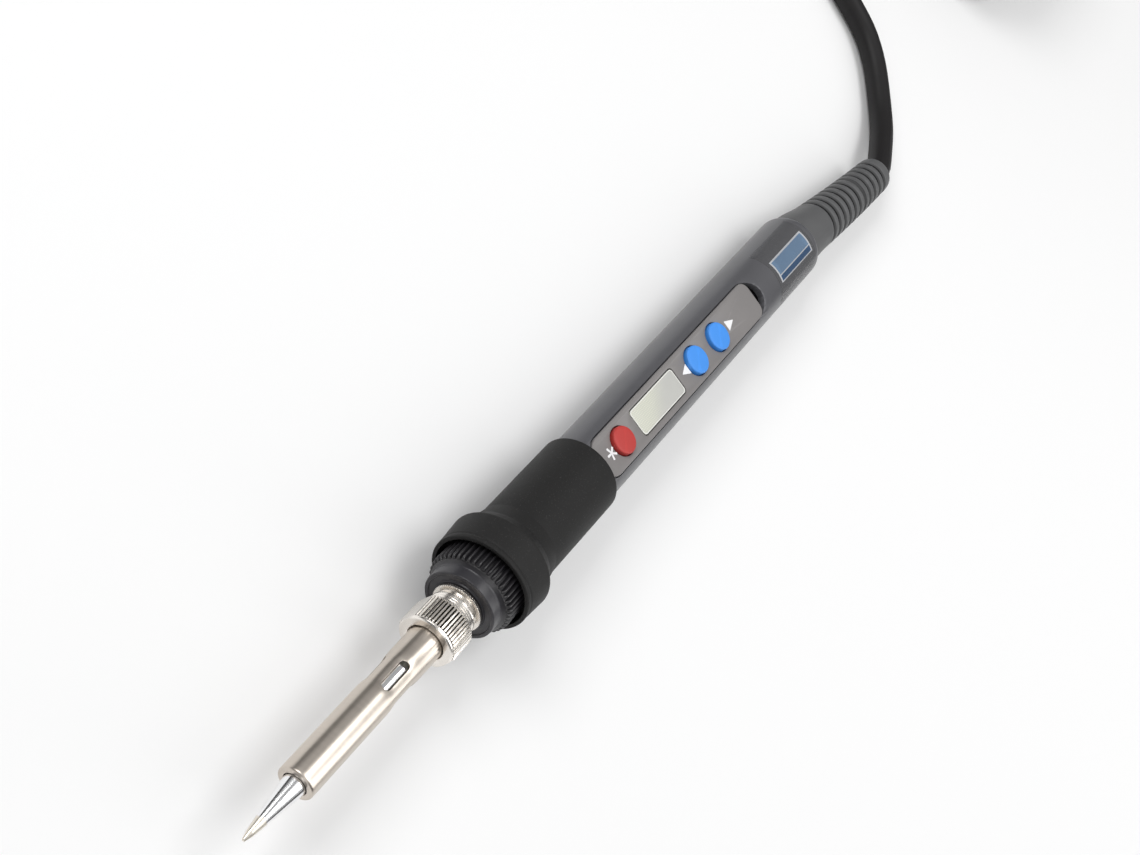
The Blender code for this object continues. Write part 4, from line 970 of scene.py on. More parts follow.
class IRON_OT_tip(bpy.types.Operator):
    """Turns the conical tip with its tinned end"""

    bl_idname = "iron.tip"
    bl_label = "Build the tip"

    def execute(self, context):
        look = finishes()
        finish = metal("tip_plating", look.tip, 0.12, rings=2500.0, line_mm=0.0001, shade_strength=0.2)
        tree = finish.tree
        waver = tree.math("MULTIPLY", tree.noise(finish.place, 500.0, 3.0), 2.2 * MM)
        station = tree.math("ADD", tree.part(finish.place, "X"), waver)
        tinned = tree.step(station, TINNED[0] * MM, TINNED[1] * MM)
        finish.overlay(tinned, tuple(look.tinning))
        finish.set("Roughness", finish.between(0.15, 0.34, tinned))
        corners = [
            (TIP_END, 0, 0),
            (TIP_END, 0.34, 0.3),
            (TIP_END - 2.0, 0.86, 2.0),
            (BARREL_FRONT + 0.5, TIP_NECK, 0.2),
            (TIP_SHOULDER, TIP_NECK, 0),
            (TIP_SHOULDER, TIP_SHANK, 0),
            (TIP_REAR, TIP_SHANK, 0),
            (TIP_REAR, TIP_BORE, 0),
            (TIP_SHOULDER, TIP_BORE, 0),
            (TIP_BORE_END, 0.5, 0),
            (TIP_BORE_END, 0, 0),
        ]
        tip = turned(rounded(corners, 5, closed=False), 96)
        add_piece("conical_tip", tip, finish, "barrel", ("soldering_tip",))
        return {"FINISHED"}


class IRON_OT_barrel(bpy.types.Operator):
    """Forms the slotted barrel that holds the tip"""

    bl_idname = "iron.barrel"
    bl_label = "Build the barrel"

    def execute(self, context):
        dimple = sizes().slot_dimple / MM
        finish = metal("barrel_stainless", finishes().barrel, 0.30, rings=7000.0, line_mm=0.003)

        def pressed(x, angle, radius):
            """The wall's radius, lower round each slot."""
            if radius < BARREL_INNER - 0.3 or radius > BARREL_RADIUS + 0.1:
                return radius
            between = 2 * math.pi / SLOTS
            turn = (angle + SLOT_TURN + between / 2) % between - between / 2
            across = turn * BARREL_RADIUS / (0.75 * SLOT_WIDTH)
            reach = max(0.0, abs(x - SLOT_CENTRE) - 0.3 * SLOT_LENGTH) / 1.6
            return radius - dimple * math.exp(-(across**2) - reach**2)

        stations = [20.0 + 0.5 * i for i in range(27)]
        profile = [Vector((BARREL_REAR, BARREL_INNER))]
        profile += [Vector((x, BARREL_INNER)) for x in stations]
        lip = [
            (BARREL_FRONT - 0.75, BARREL_INNER, 0),
            (BARREL_FRONT - BARREL_LIP, BARREL_INNER - 0.3, 0),
            (BARREL_FRONT - BARREL_LIP, BARREL_LIP_HOLE, 0),
            (BARREL_FRONT, BARREL_LIP_HOLE, 0.1),
            (BARREL_FRONT, BARREL_RADIUS, 0.55),
            (BARREL_FRONT - 1.2, BARREL_RADIUS, 0),
        ]
        profile += rounded(lip, 6, closed=False)
        profile += [Vector((x, BARREL_RADIUS)) for x in reversed(stations)]
        profile.append(Vector((BARREL_FLANGE_FRONT, BARREL_RADIUS)))
        profile += [Vector((x, BARREL_FLANGE)) for x in (BARREL_FLANGE_FRONT, BARREL_REAR)]
        tube = placed("slotted_barrel", turned(profile, 144, pressed), finish)
        cutters = []
        half, long = SLOT_WIDTH / 2, SLOT_LENGTH / 2
        sides = ((-1, -1), (1, -1), (1, 1), (-1, 1))
        outline = rounded([(SLOT_CENTRE + a * long, b * half, half) for a, b in sides], 8)
        for i in range(SLOTS):
            place = IRON @ Matrix.Rotation(SLOT_TURN + i * 2 * math.pi / SLOTS, 4, "X")
            cutters.append(placed("slot", slab(outline, 2.0, 6.0), None, place))
        carve(tube, cutters, 0.12, 50)
        add_piece("slotted_barrel", tube, None, "barrel", ("tip_barrel",))
        return {"FINISHED"}


def notch(angle, count, narrow):
    """How deep a narrow groove is at an angle: 1 on its floor, 0 on the bar beside it."""
    phase = angle * count / (2 * math.pi) % 1.0
    return 1 - smoothly(min(phase, 1 - phase), 0.35 * narrow, narrow)


NUT_FRONT = 12.9
NUT_RADIUS = 7.1
NUT_BORE = 5.9
NUT_MOUTH = 4.55  # the radius of its front hole
NUT_WALL = 1.4  # the thickness of its front wall
NUT_BARS = (5.75, 12.15)  # the stations that the bars run between


class IRON_OT_nut(bpy.types.Operator):
    """Cuts the knurled barrel nut with its two wrench flats"""

    bl_idname = "iron.nut"
    bl_label = "Build the nut"

    def execute(self, context):
        look = sizes()
        finish = metal("nut_nickel", finishes().nickel, 0.24, rings=3000.0, line_mm=0.0003, shade_strength=0.3)
        bar_depth = look.bar_depth / MM
        flat = NUT_RADIUS - look.flat_depth / MM
        rear_bar, front_bar = NUT_BARS
        tree = finish.tree

        def beyond(value, low, high):
            return tree.step(value, low * MM, high * MM)

        # the grooves between the bars get painted shade, but not the flats, the collar in front or the bore
        bottom = (NUT_RADIUS - bar_depth) * MM
        radial = finish.use("Depth from axis", Low=bottom, High=(NUT_RADIUS - 0.1) * MM)
        station = tree.part(finish.place, "X")
        behind_front = tree.math(
            "SUBTRACT",
            beyond(station, rear_bar + 0.05, rear_bar + 0.15),
            beyond(station, front_bar, front_bar + 0.15),
        )
        across = tree.math("ABSOLUTE", tree.part(finish.place, "Y"))
        off_flats = tree.math("SUBTRACT", 1.0, beyond(across, flat - 0.15, flat - 0.03))
        groove_shade = tree.math("SUBTRACT", 1.0, radial["Depth"])
        for mask in (behind_front, beyond(radial["Radius"], 6.2, 6.3), off_flats):
            groove_shade = tree.math("MULTIPLY", groove_shade, mask)
        finish.overlay(groove_shade, (0.05, 0.045, 0.04))

        def barred(x, angle, r):
            if r < 6.6 or not rear_bar - 0.05 <= x <= front_bar + 0.05:
                return r
            return r - bar_depth * notch(angle, look.nut_bars, 0.27)

        outer = [
            (NUT_STATION, NUT_BORE, 0),
            (NUT_STATION, 6.72, 0.2),
            (NUT_STATION + 0.35, 6.74, 0),
            (rear_bar, NUT_RADIUS, 0.12),
            (8.0, NUT_RADIUS, 0),
            (10.0, NUT_RADIUS, 0),
            (front_bar, NUT_RADIUS, 0.15),
            (front_bar + 0.12, 6.75, 0),
            (NUT_FRONT - 0.25, 6.7, 0.1),
            (NUT_FRONT, 6.35, 0.1),
            (NUT_FRONT, NUT_MOUTH, 0.2),
            (NUT_FRONT - NUT_WALL, NUT_MOUTH, 0),
            (NUT_FRONT - NUT_WALL, NUT_BORE, 0),
        ]
        bm = turned(rounded(outer, 3), 10 * look.nut_bars, barred)
        for vertex in bm.verts:
            vertex.co.y = max(-flat, min(flat, vertex.co.y))
        add_piece("knurled_nut", bm, finish, "nut", ("barrel_nut",), sharp=32)
        return {"FINISHED"}


FERRULE_REAR = -2.0
FERRULE_FRONT = 10.1
FERRULE_BORE = 3.0
FERRULE_BODY = 5.0
FERRULE_NECK = 4.9
FERRULE_FLANGE = (0.3, 1.0)  # its stations
FERRULE_KNURLS = 64
THREAD_START = 2.5
THREAD_CREST = 5.6
THREAD_ROOT = 5.32
THREAD_RINGS = 11
THREAD_PITCH = 0.62


class IRON_OT_ferrule(bpy.types.Operator):
    """Turns the threaded ferrule with its knurled flange"""

    bl_idname = "iron.ferrule"
    bl_label = "Build the ferrule"

    def execute(self, context):
        finish = metal("ferrule_nickel", finishes().nickel, 0.24, rings=4000.0, line_mm=0.004)

        def knurled(x, angle, r):
            return r - 0.16 * notch(angle, FERRULE_KNURLS, 0.35) if 6.0 < r < 6.3 else r

        back, front = FERRULE_FLANGE
        profile = [
            (FERRULE_REAR, FERRULE_BORE, 0),
            (FERRULE_REAR, FERRULE_BODY, 0.2),
            (back, FERRULE_BODY, 0),
            (back, 6.0, 0),
            (back + 0.06, 6.15, 0.05),
            (front - 0.06, 6.15, 0.05),
            (front, 6.0, 0),
            (front, FERRULE_NECK, 0.15),
            (THREAD_START, FERRULE_NECK, 0.15),
            (THREAD_START, THREAD_CREST, 0),
        ]
        for i in range(THREAD_RINGS):
            x = THREAD_START + 0.4 + THREAD_PITCH * i
            profile += [(x, THREAD_CREST, 0.05), (x + THREAD_PITCH / 2, THREAD_ROOT, 0.05)]
        profile.append((FERRULE_FRONT - 0.1, THREAD_CREST, 0.1))
        profile += [(FERRULE_FRONT, radius, 0) for radius in (THREAD_ROOT - 0.02, FERRULE_BORE)]
        bm = turned(rounded(profile, 3), 384, knurled)
        add_piece("knurled_ferrule", bm, finish, "handle", ("threaded_ferrule",))
        return {"FINISHED"}


# ---------------------------------------------------------------- handle: collar, sleeve, housing


COLLAR_BORE = 5.3
COLLAR_FACE = 8.9
COLLAR_ROOT = 9.75  # the radius between the teeth
COLLAR_TEETH = (-3.75, -11.4)  # the stations that they run between
COLLAR_NOSE = 1.1  # how far back each tooth's front end curves
COLLAR_NECK = 9.2
COLLAR_PLUG = 6.9  # the radius that goes into the housing
COLLAR_REAR = -30.0
COLLAR_FRONT_TINT = (0.030, 0.029, 0.034)


class IRON_OT_collar(bpy.types.Operator):
    """Moulds the toothed front collar"""

    bl_idname = "iron.collar"
    bl_label = "Build the collar"

    def execute(self, context):
        look = sizes()
        finish = moulded("collar_moulding", finishes().collar, 0.32, grain=1800.0, grain_mm=0.01, worn=2.2)
        depth = finish.use("Depth from axis", Low=(COLLAR_FACE - 0.1) * MM, High=(COLLAR_ROOT + 0.05) * MM)
        finish.overlay(finish.tree.math("SUBTRACT", 1.0, depth["Depth"]), COLLAR_FRONT_TINT)
        height = look.tooth_height / MM
        front, rear = COLLAR_TEETH

        def toothed(x, angle, r):
            if r < COLLAR_ROOT - 0.02 or not rear <= x <= front:
                return r
            phase = angle * look.teeth / (2 * math.pi) % 1.0
            off = min(phase, 1 - phase) / 0.27
            across = math.sqrt(max(0.0, 1 - off * off))
            reach = max(0.0, 1 - (front - x) / COLLAR_NOSE)
            return r + height * across * math.sqrt(max(0.0, 1 - reach * reach))

        face = [
            (0, COLLAR_BORE, 0.1),
            (0, 6.35, 0.1),
            (-0.35, 6.5, 0.1),
            (-0.35, 7.9, 0.1),
            (0, 8.1, 0.1),
            (0, COLLAR_FACE, 0.25),
            (-2.6, COLLAR_FACE, 0.1),
            (-2.9, 8.98, 0.1),
            (front + 0.2, COLLAR_ROOT, 0.2),
            (front, COLLAR_ROOT, 0),
        ]
        profile = rounded(face, 4, closed=False)
        profile += [Vector((front - COLLAR_NOSE * (i / 8) ** 2, COLLAR_ROOT)) for i in range(1, 9)]
        profile += [Vector((x, COLLAR_ROOT)) for x in (-6.0, -7.2, -8.4, -9.6, -10.6, rear, rear - 0.05)]
        inside = (
            (rear - 0.05, COLLAR_NECK),
            (-19.7, COLLAR_NECK),
            (-19.7, COLLAR_PLUG),
            (COLLAR_REAR, COLLAR_PLUG),
            (COLLAR_REAR, 3.3),
            (-17.6, 3.3),
            (-17.6, 4.6),
            (-2.3, 4.6),
            (-2.3, COLLAR_BORE),
        )
        profile += [Vector(point) for point in inside]
        bm = turned(profile, 12 * look.teeth, toothed)
        add_piece("toothed_collar", bm, finish, "handle", ("front_collar",), sharp=50)
        return {"FINISHED"}


SLEEVE_FRONT = -8.1
SLEEVE_REAR = -51.0
SLEEVE_RADIUS = 10.3
SLEEVE_BORE = 9.5
SLEEVE_MOUTH = 11.55
SLEEVE_MOUTH_END = -12.4


class IRON_OT_sleeve(bpy.types.Operator):
    """Moulds the rubber grip and its flange"""

    bl_idname = "iron.sleeve"
    bl_label = "Build the sleeve"

    def execute(self, context):
        look = {"grain": 3000.0, "grain_mm": 0.035, "speckle": 0.9, "worn": 1.5, "Specular_IOR_Level": 0.22}
        finish = moulded("sleeve_rubber", finishes().sleeve, 0.58, **look)
        outline = [
            (SLEEVE_FRONT, SLEEVE_MOUTH, 0.15),
            (SLEEVE_FRONT, 12.55, 0.35),
            (-9.0, 12.6, 0.2),
            (-9.4, 12.45, 0.3),
            (-9.9, 12.6, 0.3),
            (-16.4, 13.05, 1.1),
            (-19.4, 11.1, 2.5),
            (-23.4, SLEEVE_RADIUS + 0.02, 3.0),
            (SLEEVE_REAR, SLEEVE_RADIUS, 0.5),
            (SLEEVE_REAR, SLEEVE_BORE, 0.1),
            (SLEEVE_MOUTH_END, SLEEVE_BORE, 0),
            (SLEEVE_MOUTH_END, SLEEVE_MOUTH, 0.4),
        ]
        sleeve = turned(rounded(outline, 7), 128)
        add_piece("rubber_grip", sleeve, finish, "handle", ("grip_sleeve",))
        return {"FINISHED"}


HOUSING_FRONT = -20.0
HOUSING_RADIUS = 9.2
HOUSING_BORE = 7.2
HOUSING_REAR_HOLE = 5.5
HOUSING_REAR_WALL = 2.5
PANEL_FRONT = -49.7
PANEL_REAR = -131.6
PANEL_TOP = 8.1
PANEL_THICKNESS = 1.2
PANEL_HALF = 5.25
PANEL_REAR_CORNER = 2.8
POCKET_FLOOR = 6.55
OPENING_HALF = 4.6
WINDOW = (-68.2, -89.5)
WINDOW_HALF = 3.75
BUTTONS = (("power", -61.1, 3.55), ("down", -98.3, 3.75), ("up", -110.0, 3.75))  # name, station, radius
BUTTON_GAP = 0.28


def capsule(front, rear, half, steps=12):
    """An outline round at both ends, anticlockwise."""
    nose = arc((front - half, 0), half, -90, 90, steps)
    return nose + arc((rear + half, 0), half, 90, 270, steps)


def oblong(front, rear, half, corner, steps=6):
    """An outline with four round corners, anticlockwise."""
    sides = ((front, -half), (front, half), (rear, half), (rear, -half))
    return rounded([(a, b, corner) for a, b in sides], steps)


class IRON_OT_housing(bpy.types.Operator):
    """Moulds the round handle with the panel's pocket"""

    bl_idname = "iron.housing"
    bl_label = "Build the housing"

    def execute(self, context):
        look = {"grain": 4200.0, "grain_mm": 0.006, "speckle": 0.05, "worn": 1.6}
        finish = moulded("housing_moulding", finishes().housing, 0.33, **look)
        tail, inner_tail = HOUSING_REAR, HOUSING_REAR + HOUSING_REAR_WALL
        corners = [
            (HOUSING_FRONT, HOUSING_BORE, 0),
            (HOUSING_FRONT, HOUSING_RADIUS, 0),
            (-48.8, HOUSING_RADIUS, 0),
            (-134.3, HOUSING_RADIUS, 0),
            (-160.0, HOUSING_RADIUS, 0),
            (tail, HOUSING_RADIUS, 2.2),
            (tail, HOUSING_REAR_HOLE, 0),
            (inner_tail, HOUSING_REAR_HOLE, 0),
            (inner_tail, HOUSING_BORE, 0),
        ]
        shell = placed("handle_shell", turned(rounded(corners, 8), 160), finish)
        pocket = slab(capsule(PANEL_FRONT + 0.4, PANEL_REAR - 2.1, PANEL_HALF + 0.35), POCKET_FLOOR, 12.0)
        opening = slab(capsule(PANEL_FRONT - 2, PANEL_REAR + 2, OPENING_HALF), 3.0, 9.0)
        cutters = [placed("pocket", pocket), placed("opening", opening)]
        carve(shell, cutters, 0.22, 35)
        add_piece("handle_shell", shell, None, "handle", ("handle_housing",))
        return {"FINISHED"}


class IRON_OT_panel(bpy.types.Operator):
    """Moulds the control panel and cuts its window and button holes"""

    bl_idname = "iron.panel"
    bl_label = "Build the control panel"

    def execute(self, context):
        look = sizes()
        finish = moulded("panel_moulding", finishes().panel, 0.42, grain=3600.0, grain_mm=0.008, worn=1.25)
        corner = PANEL_REAR_CORNER
        side = PANEL_HALF - corner
        edge = look.panel_edge / MM
        outline = arc((PANEL_FRONT - PANEL_HALF, 0), PANEL_HALF, -90, 90, 24)
        outline += arc((PANEL_REAR + corner, side), corner, 90, 180, 8)
        outline += arc((PANEL_REAR + corner, -side), corner, 180, 270, 8)
        plate = placed("panel_plate", slab(outline, PANEL_TOP - PANEL_THICKNESS, PANEL_TOP, edge, 5), finish)
        cutters = []
        for name, station, radius in BUTTONS:
            hole = slab(arc((station, 0), radius + BUTTON_GAP, 0, 354, 59), 5.0, 10.0)
            cutters.append(placed(f"{name}_hole", hole))
        window = oblong(*WINDOW, WINDOW_HALF, 1.3)
        cutters.append(placed("window_hole", slab(window, 5.0, 10.0)))
        carve(plate, cutters, 0.13, 40)
        add_piece("panel_plate", plate, None, "handle", ("control_panel",))
        return {"FINISHED"}


SCREEN_GAP = 0.3  # between the display's glass and the window's sides
SCREEN_DROP = 0.15  # the glass lies this far under the panel's top
SCREEN_THICKNESS = 0.8
SCREEN_RIM = 0.28
SCREEN_SHEEN_CREAM = (0.66, 0.68, 0.56)
SCREEN_SHEEN_DOTS = (0.80, 0.80, 0.66)
SCREEN_SHEEN = (-83.5, -73.5)  # between these stations a painted sheen turns the screen from plain to cream
SCREEN_SHARE = 0.55  # how fully the painted sheen does


class IRON_OT_display(bpy.types.Operator):
    """Sets the display's window in the panel"""

    bl_idname = "iron.display"
    bl_label = "Build the display"

    def execute(self, context):
        base = tuple(finishes().screen)
        finish = Finish("display_glass", Coat_Weight=0.3, Coat_Roughness=0.05)
        tree = finish.tree
        lattice = finish.use("Dot lattice", Pitch=0.00062, Size=0.26)
        texture = finish.use("Fine grain", Grain_per_metre=900.0, Mottle_per_metre=140.0)
        # painted sheen: a slanted cream patch over the screen, with the dot lattice showing only inside it
        across = tree.math("MULTIPLY", tree.part(finish.place, "Y"), -0.9)
        slant = tree.math("ADD", tree.part(finish.place, "X"), across)
        sheen = tree.step(slant, SCREEN_SHEEN[0] * MM, SCREEN_SHEEN[1] * MM)
        sheen = tree.math("MULTIPLY", sheen, SCREEN_SHARE)
        plain = tree.mix(texture["Mottle"], shade(base, 0.93), shade(base, 1.05))
        sheened = tree.mix(sheen, plain, SCREEN_SHEEN_CREAM)
        sheen_dots = tree.math("MULTIPLY", lattice["Dots"], sheen)
        finish.set("Base Color", tree.mix(sheen_dots, sheened, SCREEN_SHEEN_DOTS))
        finish.set("Roughness", finish.between(0.16, 0.26, texture["Mottle"]))
        front, rear = WINDOW[0] - SCREEN_GAP, WINDOW[1] + SCREEN_GAP
        half = WINDOW_HALF - SCREEN_GAP
        outline = oblong(front, rear, half, 1.1)
        top = PANEL_TOP - SCREEN_DROP
        glass = slab(outline, top - SCREEN_THICKNESS, top, 0.1, 3)
        add_piece("display_glass", glass, finish, "handle", ("display_window",))
        rim_finish = moulded("display_rim", shade(base, 1.25), 0.4)
        inner = oblong(front - SCREEN_RIM, rear + SCREEN_RIM, 0.93 * half, 0.95)
        rim = placed("display_rim", slab(outline, top - 0.01, top + 0.04), rim_finish)
        carve(rim, (placed("rim_hole", slab(inner, PANEL_TOP - 1, PANEL_TOP + 1)),))
        add_piece("display_rim", rim, None, "handle")
        return {"FINISHED"}


BUTTON_HEIGHT = 1.15  # above the panel
BUTTON_FOOT = (6.15, 6.6)  # the heights that its wider foot lies between
BUTTON_FOOT_REACH = 0.45


class IRON_OT_buttons(bpy.types.Operator):
    """Moulds the power button and the two arrow buttons"""

    bl_idname = "iron.buttons"
    bl_label = "Build the buttons"

    def execute(self, context):
        look = finishes()
        edge = sizes().button_edge / MM
        red = moulded("power_rubber", look.power, 0.50, grain=3000.0, grain_mm=0.006, worn=1.1)
        blue = moulded("arrow_rubber", look.arrows, 0.50, grain=3000.0, grain_mm=0.006, worn=1.1)
        top = PANEL_TOP + BUTTON_HEIGHT
        bottom, foot_top = BUTTON_FOOT
        for name, station, radius in BUTTONS:
            foot = radius + BUTTON_FOOT_REACH
            corners = [
                (bottom, 0, 0),
                (bottom, foot, 0.1),
                (foot_top, foot, 0.1),
                (foot_top, radius, 0),
                (top - edge - 0.1, radius - 0.02, 0),
                (top, radius - 0.06, edge),
                (top + 0.06, 0.5 * radius, 0.5),
                (top + 0.08, 0, 0),
            ]
            place = IRON @ Matrix.Translation((station * MM, 0, 0)) @ Matrix.Rotation(-math.pi / 2, 4, "Y")
            finish, slot_name = (red, "red_button") if name == "power" else (blue, "blue_button")
            cap = turned(rounded(corners, 8, closed=False), 96)
            add_piece(f"{name}_cap", cap, finish, f"{name}_button", (f"{name}_button",), place)
        return {"FINISHED"}


MARK_SUNK, MARK_PROUD = 0.02, 0.025
ARROWS = (("down_mark", -91.4, -94.4), ("up_mark", -119.1, -115.6))  # name, station of its point, of its base
ARROW_HALF = 1.45
STAR_CENTRE = (-55.9, 0.1)
STAR_ARMS = 5
# an arm's two outer corners and the notch after it: angle from the arm's middle, distance
STAR_ARM = ((-0.17, 1.7), (0.17, 1.7), (0.62, 0.42))


class IRON_OT_marks(bpy.types.Operator):
    """Prints the asterisk and the two arrows on the panel"""

    bl_idname = "iron.marks"
    bl_label = "Print the marks"

    def execute(self, context):
        finish = moulded("mark_ink", finishes().print, 0.45, grain=6000.0, grain_mm=0.004)
        bottom, top = PANEL_TOP - MARK_SUNK, PANEL_TOP + MARK_PROUD
        for name, apex, base in ARROWS:
            corners = [(apex, 0.0, 0.12), (base, ARROW_HALF, 0.12), (base, -ARROW_HALF, 0.12)]
            if apex < base:
                corners.reverse()
            add_piece(name, slab(rounded(corners, 4), bottom, top), finish)
        star = []
        x, y = STAR_CENTRE
        for i in range(STAR_ARMS):
            for turn, reach in STAR_ARM:
                angle = 2 * math.pi * i / STAR_ARMS + turn
                star.append((x + reach * math.cos(angle), y + reach * math.sin(angle), 0.05))
        add_piece("power_mark", slab(rounded(star, 3), bottom, top), finish)
        return {"FINISHED"}


def wrapped(front, rear, low, high, radius, thick, steps=40):
    """A sheet wrapped on the round handle between two angles, in degrees from its top."""
    bm = bmesh.new()
    rows = 8
    layers = []
    for out in (radius, radius + thick):
        grid = []
        for i in range(rows + 1):
            x = front + (rear - front) * i / rows
            angles = [math.radians(low + (high - low) * k / steps) for k in range(steps + 1)]
            grid.append([bm.verts.new((x, out * math.sin(a), out * math.cos(a))) for a in angles])
        layers.append(grid)
    for grid in layers:
        for one, two in zip(grid, grid[1:]):
            for k in range(steps):
                bm.faces.new((one[k], one[k + 1], two[k + 1], two[k]))
    inside, outside = layers
    for i in range(rows):
        for k in (0, steps):
            bm.faces.new((inside[i][k], inside[i + 1][k], outside[i + 1][k], outside[i][k]))
    for i in (0, rows):
        for k in range(steps):
            bm.faces.new((inside[i][k], inside[i][k + 1], outside[i][k + 1], outside[i][k]))
    return bm


LABEL_LIFT = 0.005  # off the handle
# front and rear stations, then the angles, in degrees from the handle's top, that each sheet lies between
LABEL_BORDER = (-143.8, -162.7, -20.5, 20.5)
LABEL_UPPER = (-144.4, -162.1, -17.6, 7.0)
LABEL_LOWER = (-144.4, -162.1, 9.0, 18.4)
LABEL_FILM = (-142.2, -164.0, -54, 60)
FILM_CLEAR = (0.93, 0.93, 0.93, 1.0)
FILM_GLARE = 0.30  # how much of the film shows where it is seen edge on
FILM_LEAST = 0.025


class IRON_OT_label(bpy.types.Operator):
    """Sticks the rating label on the handle, under its clear film"""

    bl_idname = "iron.label"
    bl_label = "Build the label"

    def execute(self, context):
        look = finishes()
        white = moulded("label_paper", (0.62, 0.64, 0.67), 0.35, grain_mm=0.003)
        sky = moulded("label_upper", look.label_sky, 0.3, grain_mm=0.003)
        sea = moulded("label_lower", look.label_sea, 0.3, grain_mm=0.003)
        base = HOUSING_RADIUS + LABEL_LIFT
        fields = (
            ("label_border", white, wrapped(*LABEL_BORDER, base, 0.03)),
            ("label_upper_field", sky, wrapped(*LABEL_UPPER, base + 0.028, 0.02)),
            ("label_lower_field", sea, wrapped(*LABEL_LOWER, base + 0.028, 0.02)),
        )
        for name, finish, sheet in fields:
            add_piece(name, sheet, finish, sharp=60)
        film = Finish("clear_film")
        tree = film.tree
        clear = tree.tree.nodes.new("ShaderNodeBsdfTransparent")
        clear.inputs["Color"].default_value = FILM_CLEAR
        film.set("Base Color", (0.35, 0.35, 0.35))
        texture = film.use("Handling", Smudges_per_metre=120.0)
        film.set("Roughness", film.between(0.05, 0.16, texture["Smudge"]))
        facing = tree.add("ShaderNodeLayerWeight", {"Blend": 0.3}, "Facing")
        glare = tree.math("MULTIPLY", tree.math("POWER", facing, 2.0), FILM_GLARE)
        share = tree.math("ADD", glare, FILM_LEAST, clamp=True)
        mixed = tree.tree.nodes.new("ShaderNodeMixShader")
        tree.put(mixed.inputs[0], share)
        tree.put(mixed.inputs[1], clear.outputs[0])
        tree.put(mixed.inputs[2], film.shader.outputs[0])
        tree.put(tree.tree.nodes["Material Output"].inputs["Surface"], mixed.outputs[0])
        sheet = wrapped(*LABEL_FILM, base + 0.06, 0.04, 80)
        add_piece("label_film", sheet, film, sharp=60)
        return {"FINISHED"}


# ---------------------------------------------------------------- strain relief

BOOT_WAIST = 13.4  # mm behind the housing, as every station of the strain relief is
BOOT_BASE_RADIUS = 8.0
BOOT_WAIST_RADIUS = 6.95
BOOT_END_RADIUS = 5.45
BOOT_BORE = 3.9
BOOT_SPIGOT = (-4.2, -2.85)  # the stations of the ring that holds it in the housing
BOOT_GROOVES = 11
BOOT_SIDES = 80
# a groove's section: shares of its width and of its depth
GROOVE = ((0, 0), (0.05, 0.1), (0.12, 0.55), (0.24, 0.93), (0.38, 1))
GROOVE += tuple((1 - share, sunk) for share, sunk in reversed(GROOVE))


def boot_radius(distance):
    """The strain relief's plain radius: a flared base, then a slow taper."""
    if distance < BOOT_WAIST:
        return BOOT_BASE_RADIUS + (BOOT_WAIST_RADIUS - BOOT_BASE_RADIUS) * smoothly(distance / BOOT_WAIST)
    share = (distance - BOOT_WAIST) / (BOOT_LENGTH - BOOT_WAIST)
    return BOOT_WAIST_RADIUS + (BOOT_END_RADIUS - BOOT_WAIST_RADIUS) * share


class IRON_OT_boot(bpy.types.Operator):
    """Moulds the ribbed strain relief that bends with the cord"""

    bl_idname = "iron.boot"
    bl_label = "Build the strain relief"

    def execute(self, context):
        look = {"grain": 3400.0, "grain_mm": 0.012, "worn": 1.3, "Specular_IOR_Level": 0.25}
        finish = moulded("boot_rubber", finishes().boot, 0.5, **look)
        pitch = (BOOT_LENGTH - BOOT_WAIST - 2.0) / BOOT_GROOVES
        depth = sizes().boot_groove / MM
        width = 0.52 * pitch
        first, second = BOOT_SPIGOT
        start = ((first, 6.5), (second, 6.5), (second, 5.2), (0.0, 5.2), (0.0, 7.85), (0.1, 7.98))
        profile = [Vector(point) for point in start]
        profile += [Vector((BOOT_WAIST * i / 14, boot_radius(BOOT_WAIST * i / 14))) for i in range(1, 14)]
        deep = {}
        for i in range(BOOT_GROOVES):
            start = BOOT_WAIST + i * pitch
            for share, sunk in GROOVE:
                x = start + share * width
                deep[round(x, 5)] = sunk
                profile.append(Vector((x, boot_radius(x))))
            rib = start + 0.5 * (width + pitch)
            profile.append(Vector((rib, boot_radius(rib) + 0.03)))
        end = boot_radius(BOOT_LENGTH)
        profile += [Vector((BOOT_LENGTH - 0.9, end)), Vector((BOOT_LENGTH - 0.3, end - 0.15))]
        profile += [Vector((BOOT_LENGTH, end - 0.6))]
        profile += [Vector((BOOT_LENGTH * (1 - i / 12), BOOT_BORE)) for i in range(13)]
        profile += [Vector((first, BOOT_BORE))]

        def groove_at(x, r):
            """How far into a groove a station of the outside is, from 0 to 1."""
            return deep.get(round(x, 5), 0) if r > 4.5 else 0

        def grooved(x, angle, r):
            return r - depth * groove_at(x, r) * (0.78 + 0.22 * math.sin(angle))

        bm = turned(profile, BOOT_SIDES, grooved, boot_frame)
        bm.faces.ensure_lookup_table()
        sunk = [groove_at(*point) for point in profile]
        for i, (here, after) in enumerate(zip(sunk, sunk[1:])):
            if min(here, after) > 0.5:
                for face in bm.faces[i * BOOT_SIDES : (i + 1) * BOOT_SIDES]:
                    face.material_index = 1
        boot = placed("ribbed_boot", bm, finish, sharp=55)
        # painted shade: the faces deep in the grooves take a copy of the rubber at a quarter of its colour
        shadow = shade(finishes().boot, 0.25)
        groove_shade_finish = moulded("boot_groove_shade", shadow, 0.6, Specular_IOR_Level=0.15)
        boot.data.materials.append(groove_shade_finish.material)
        add_piece("ribbed_boot", boot, None, "handle", ("cord_boot",))
        return {"FINISHED"}


# ---------------------------------------------------------------- inside


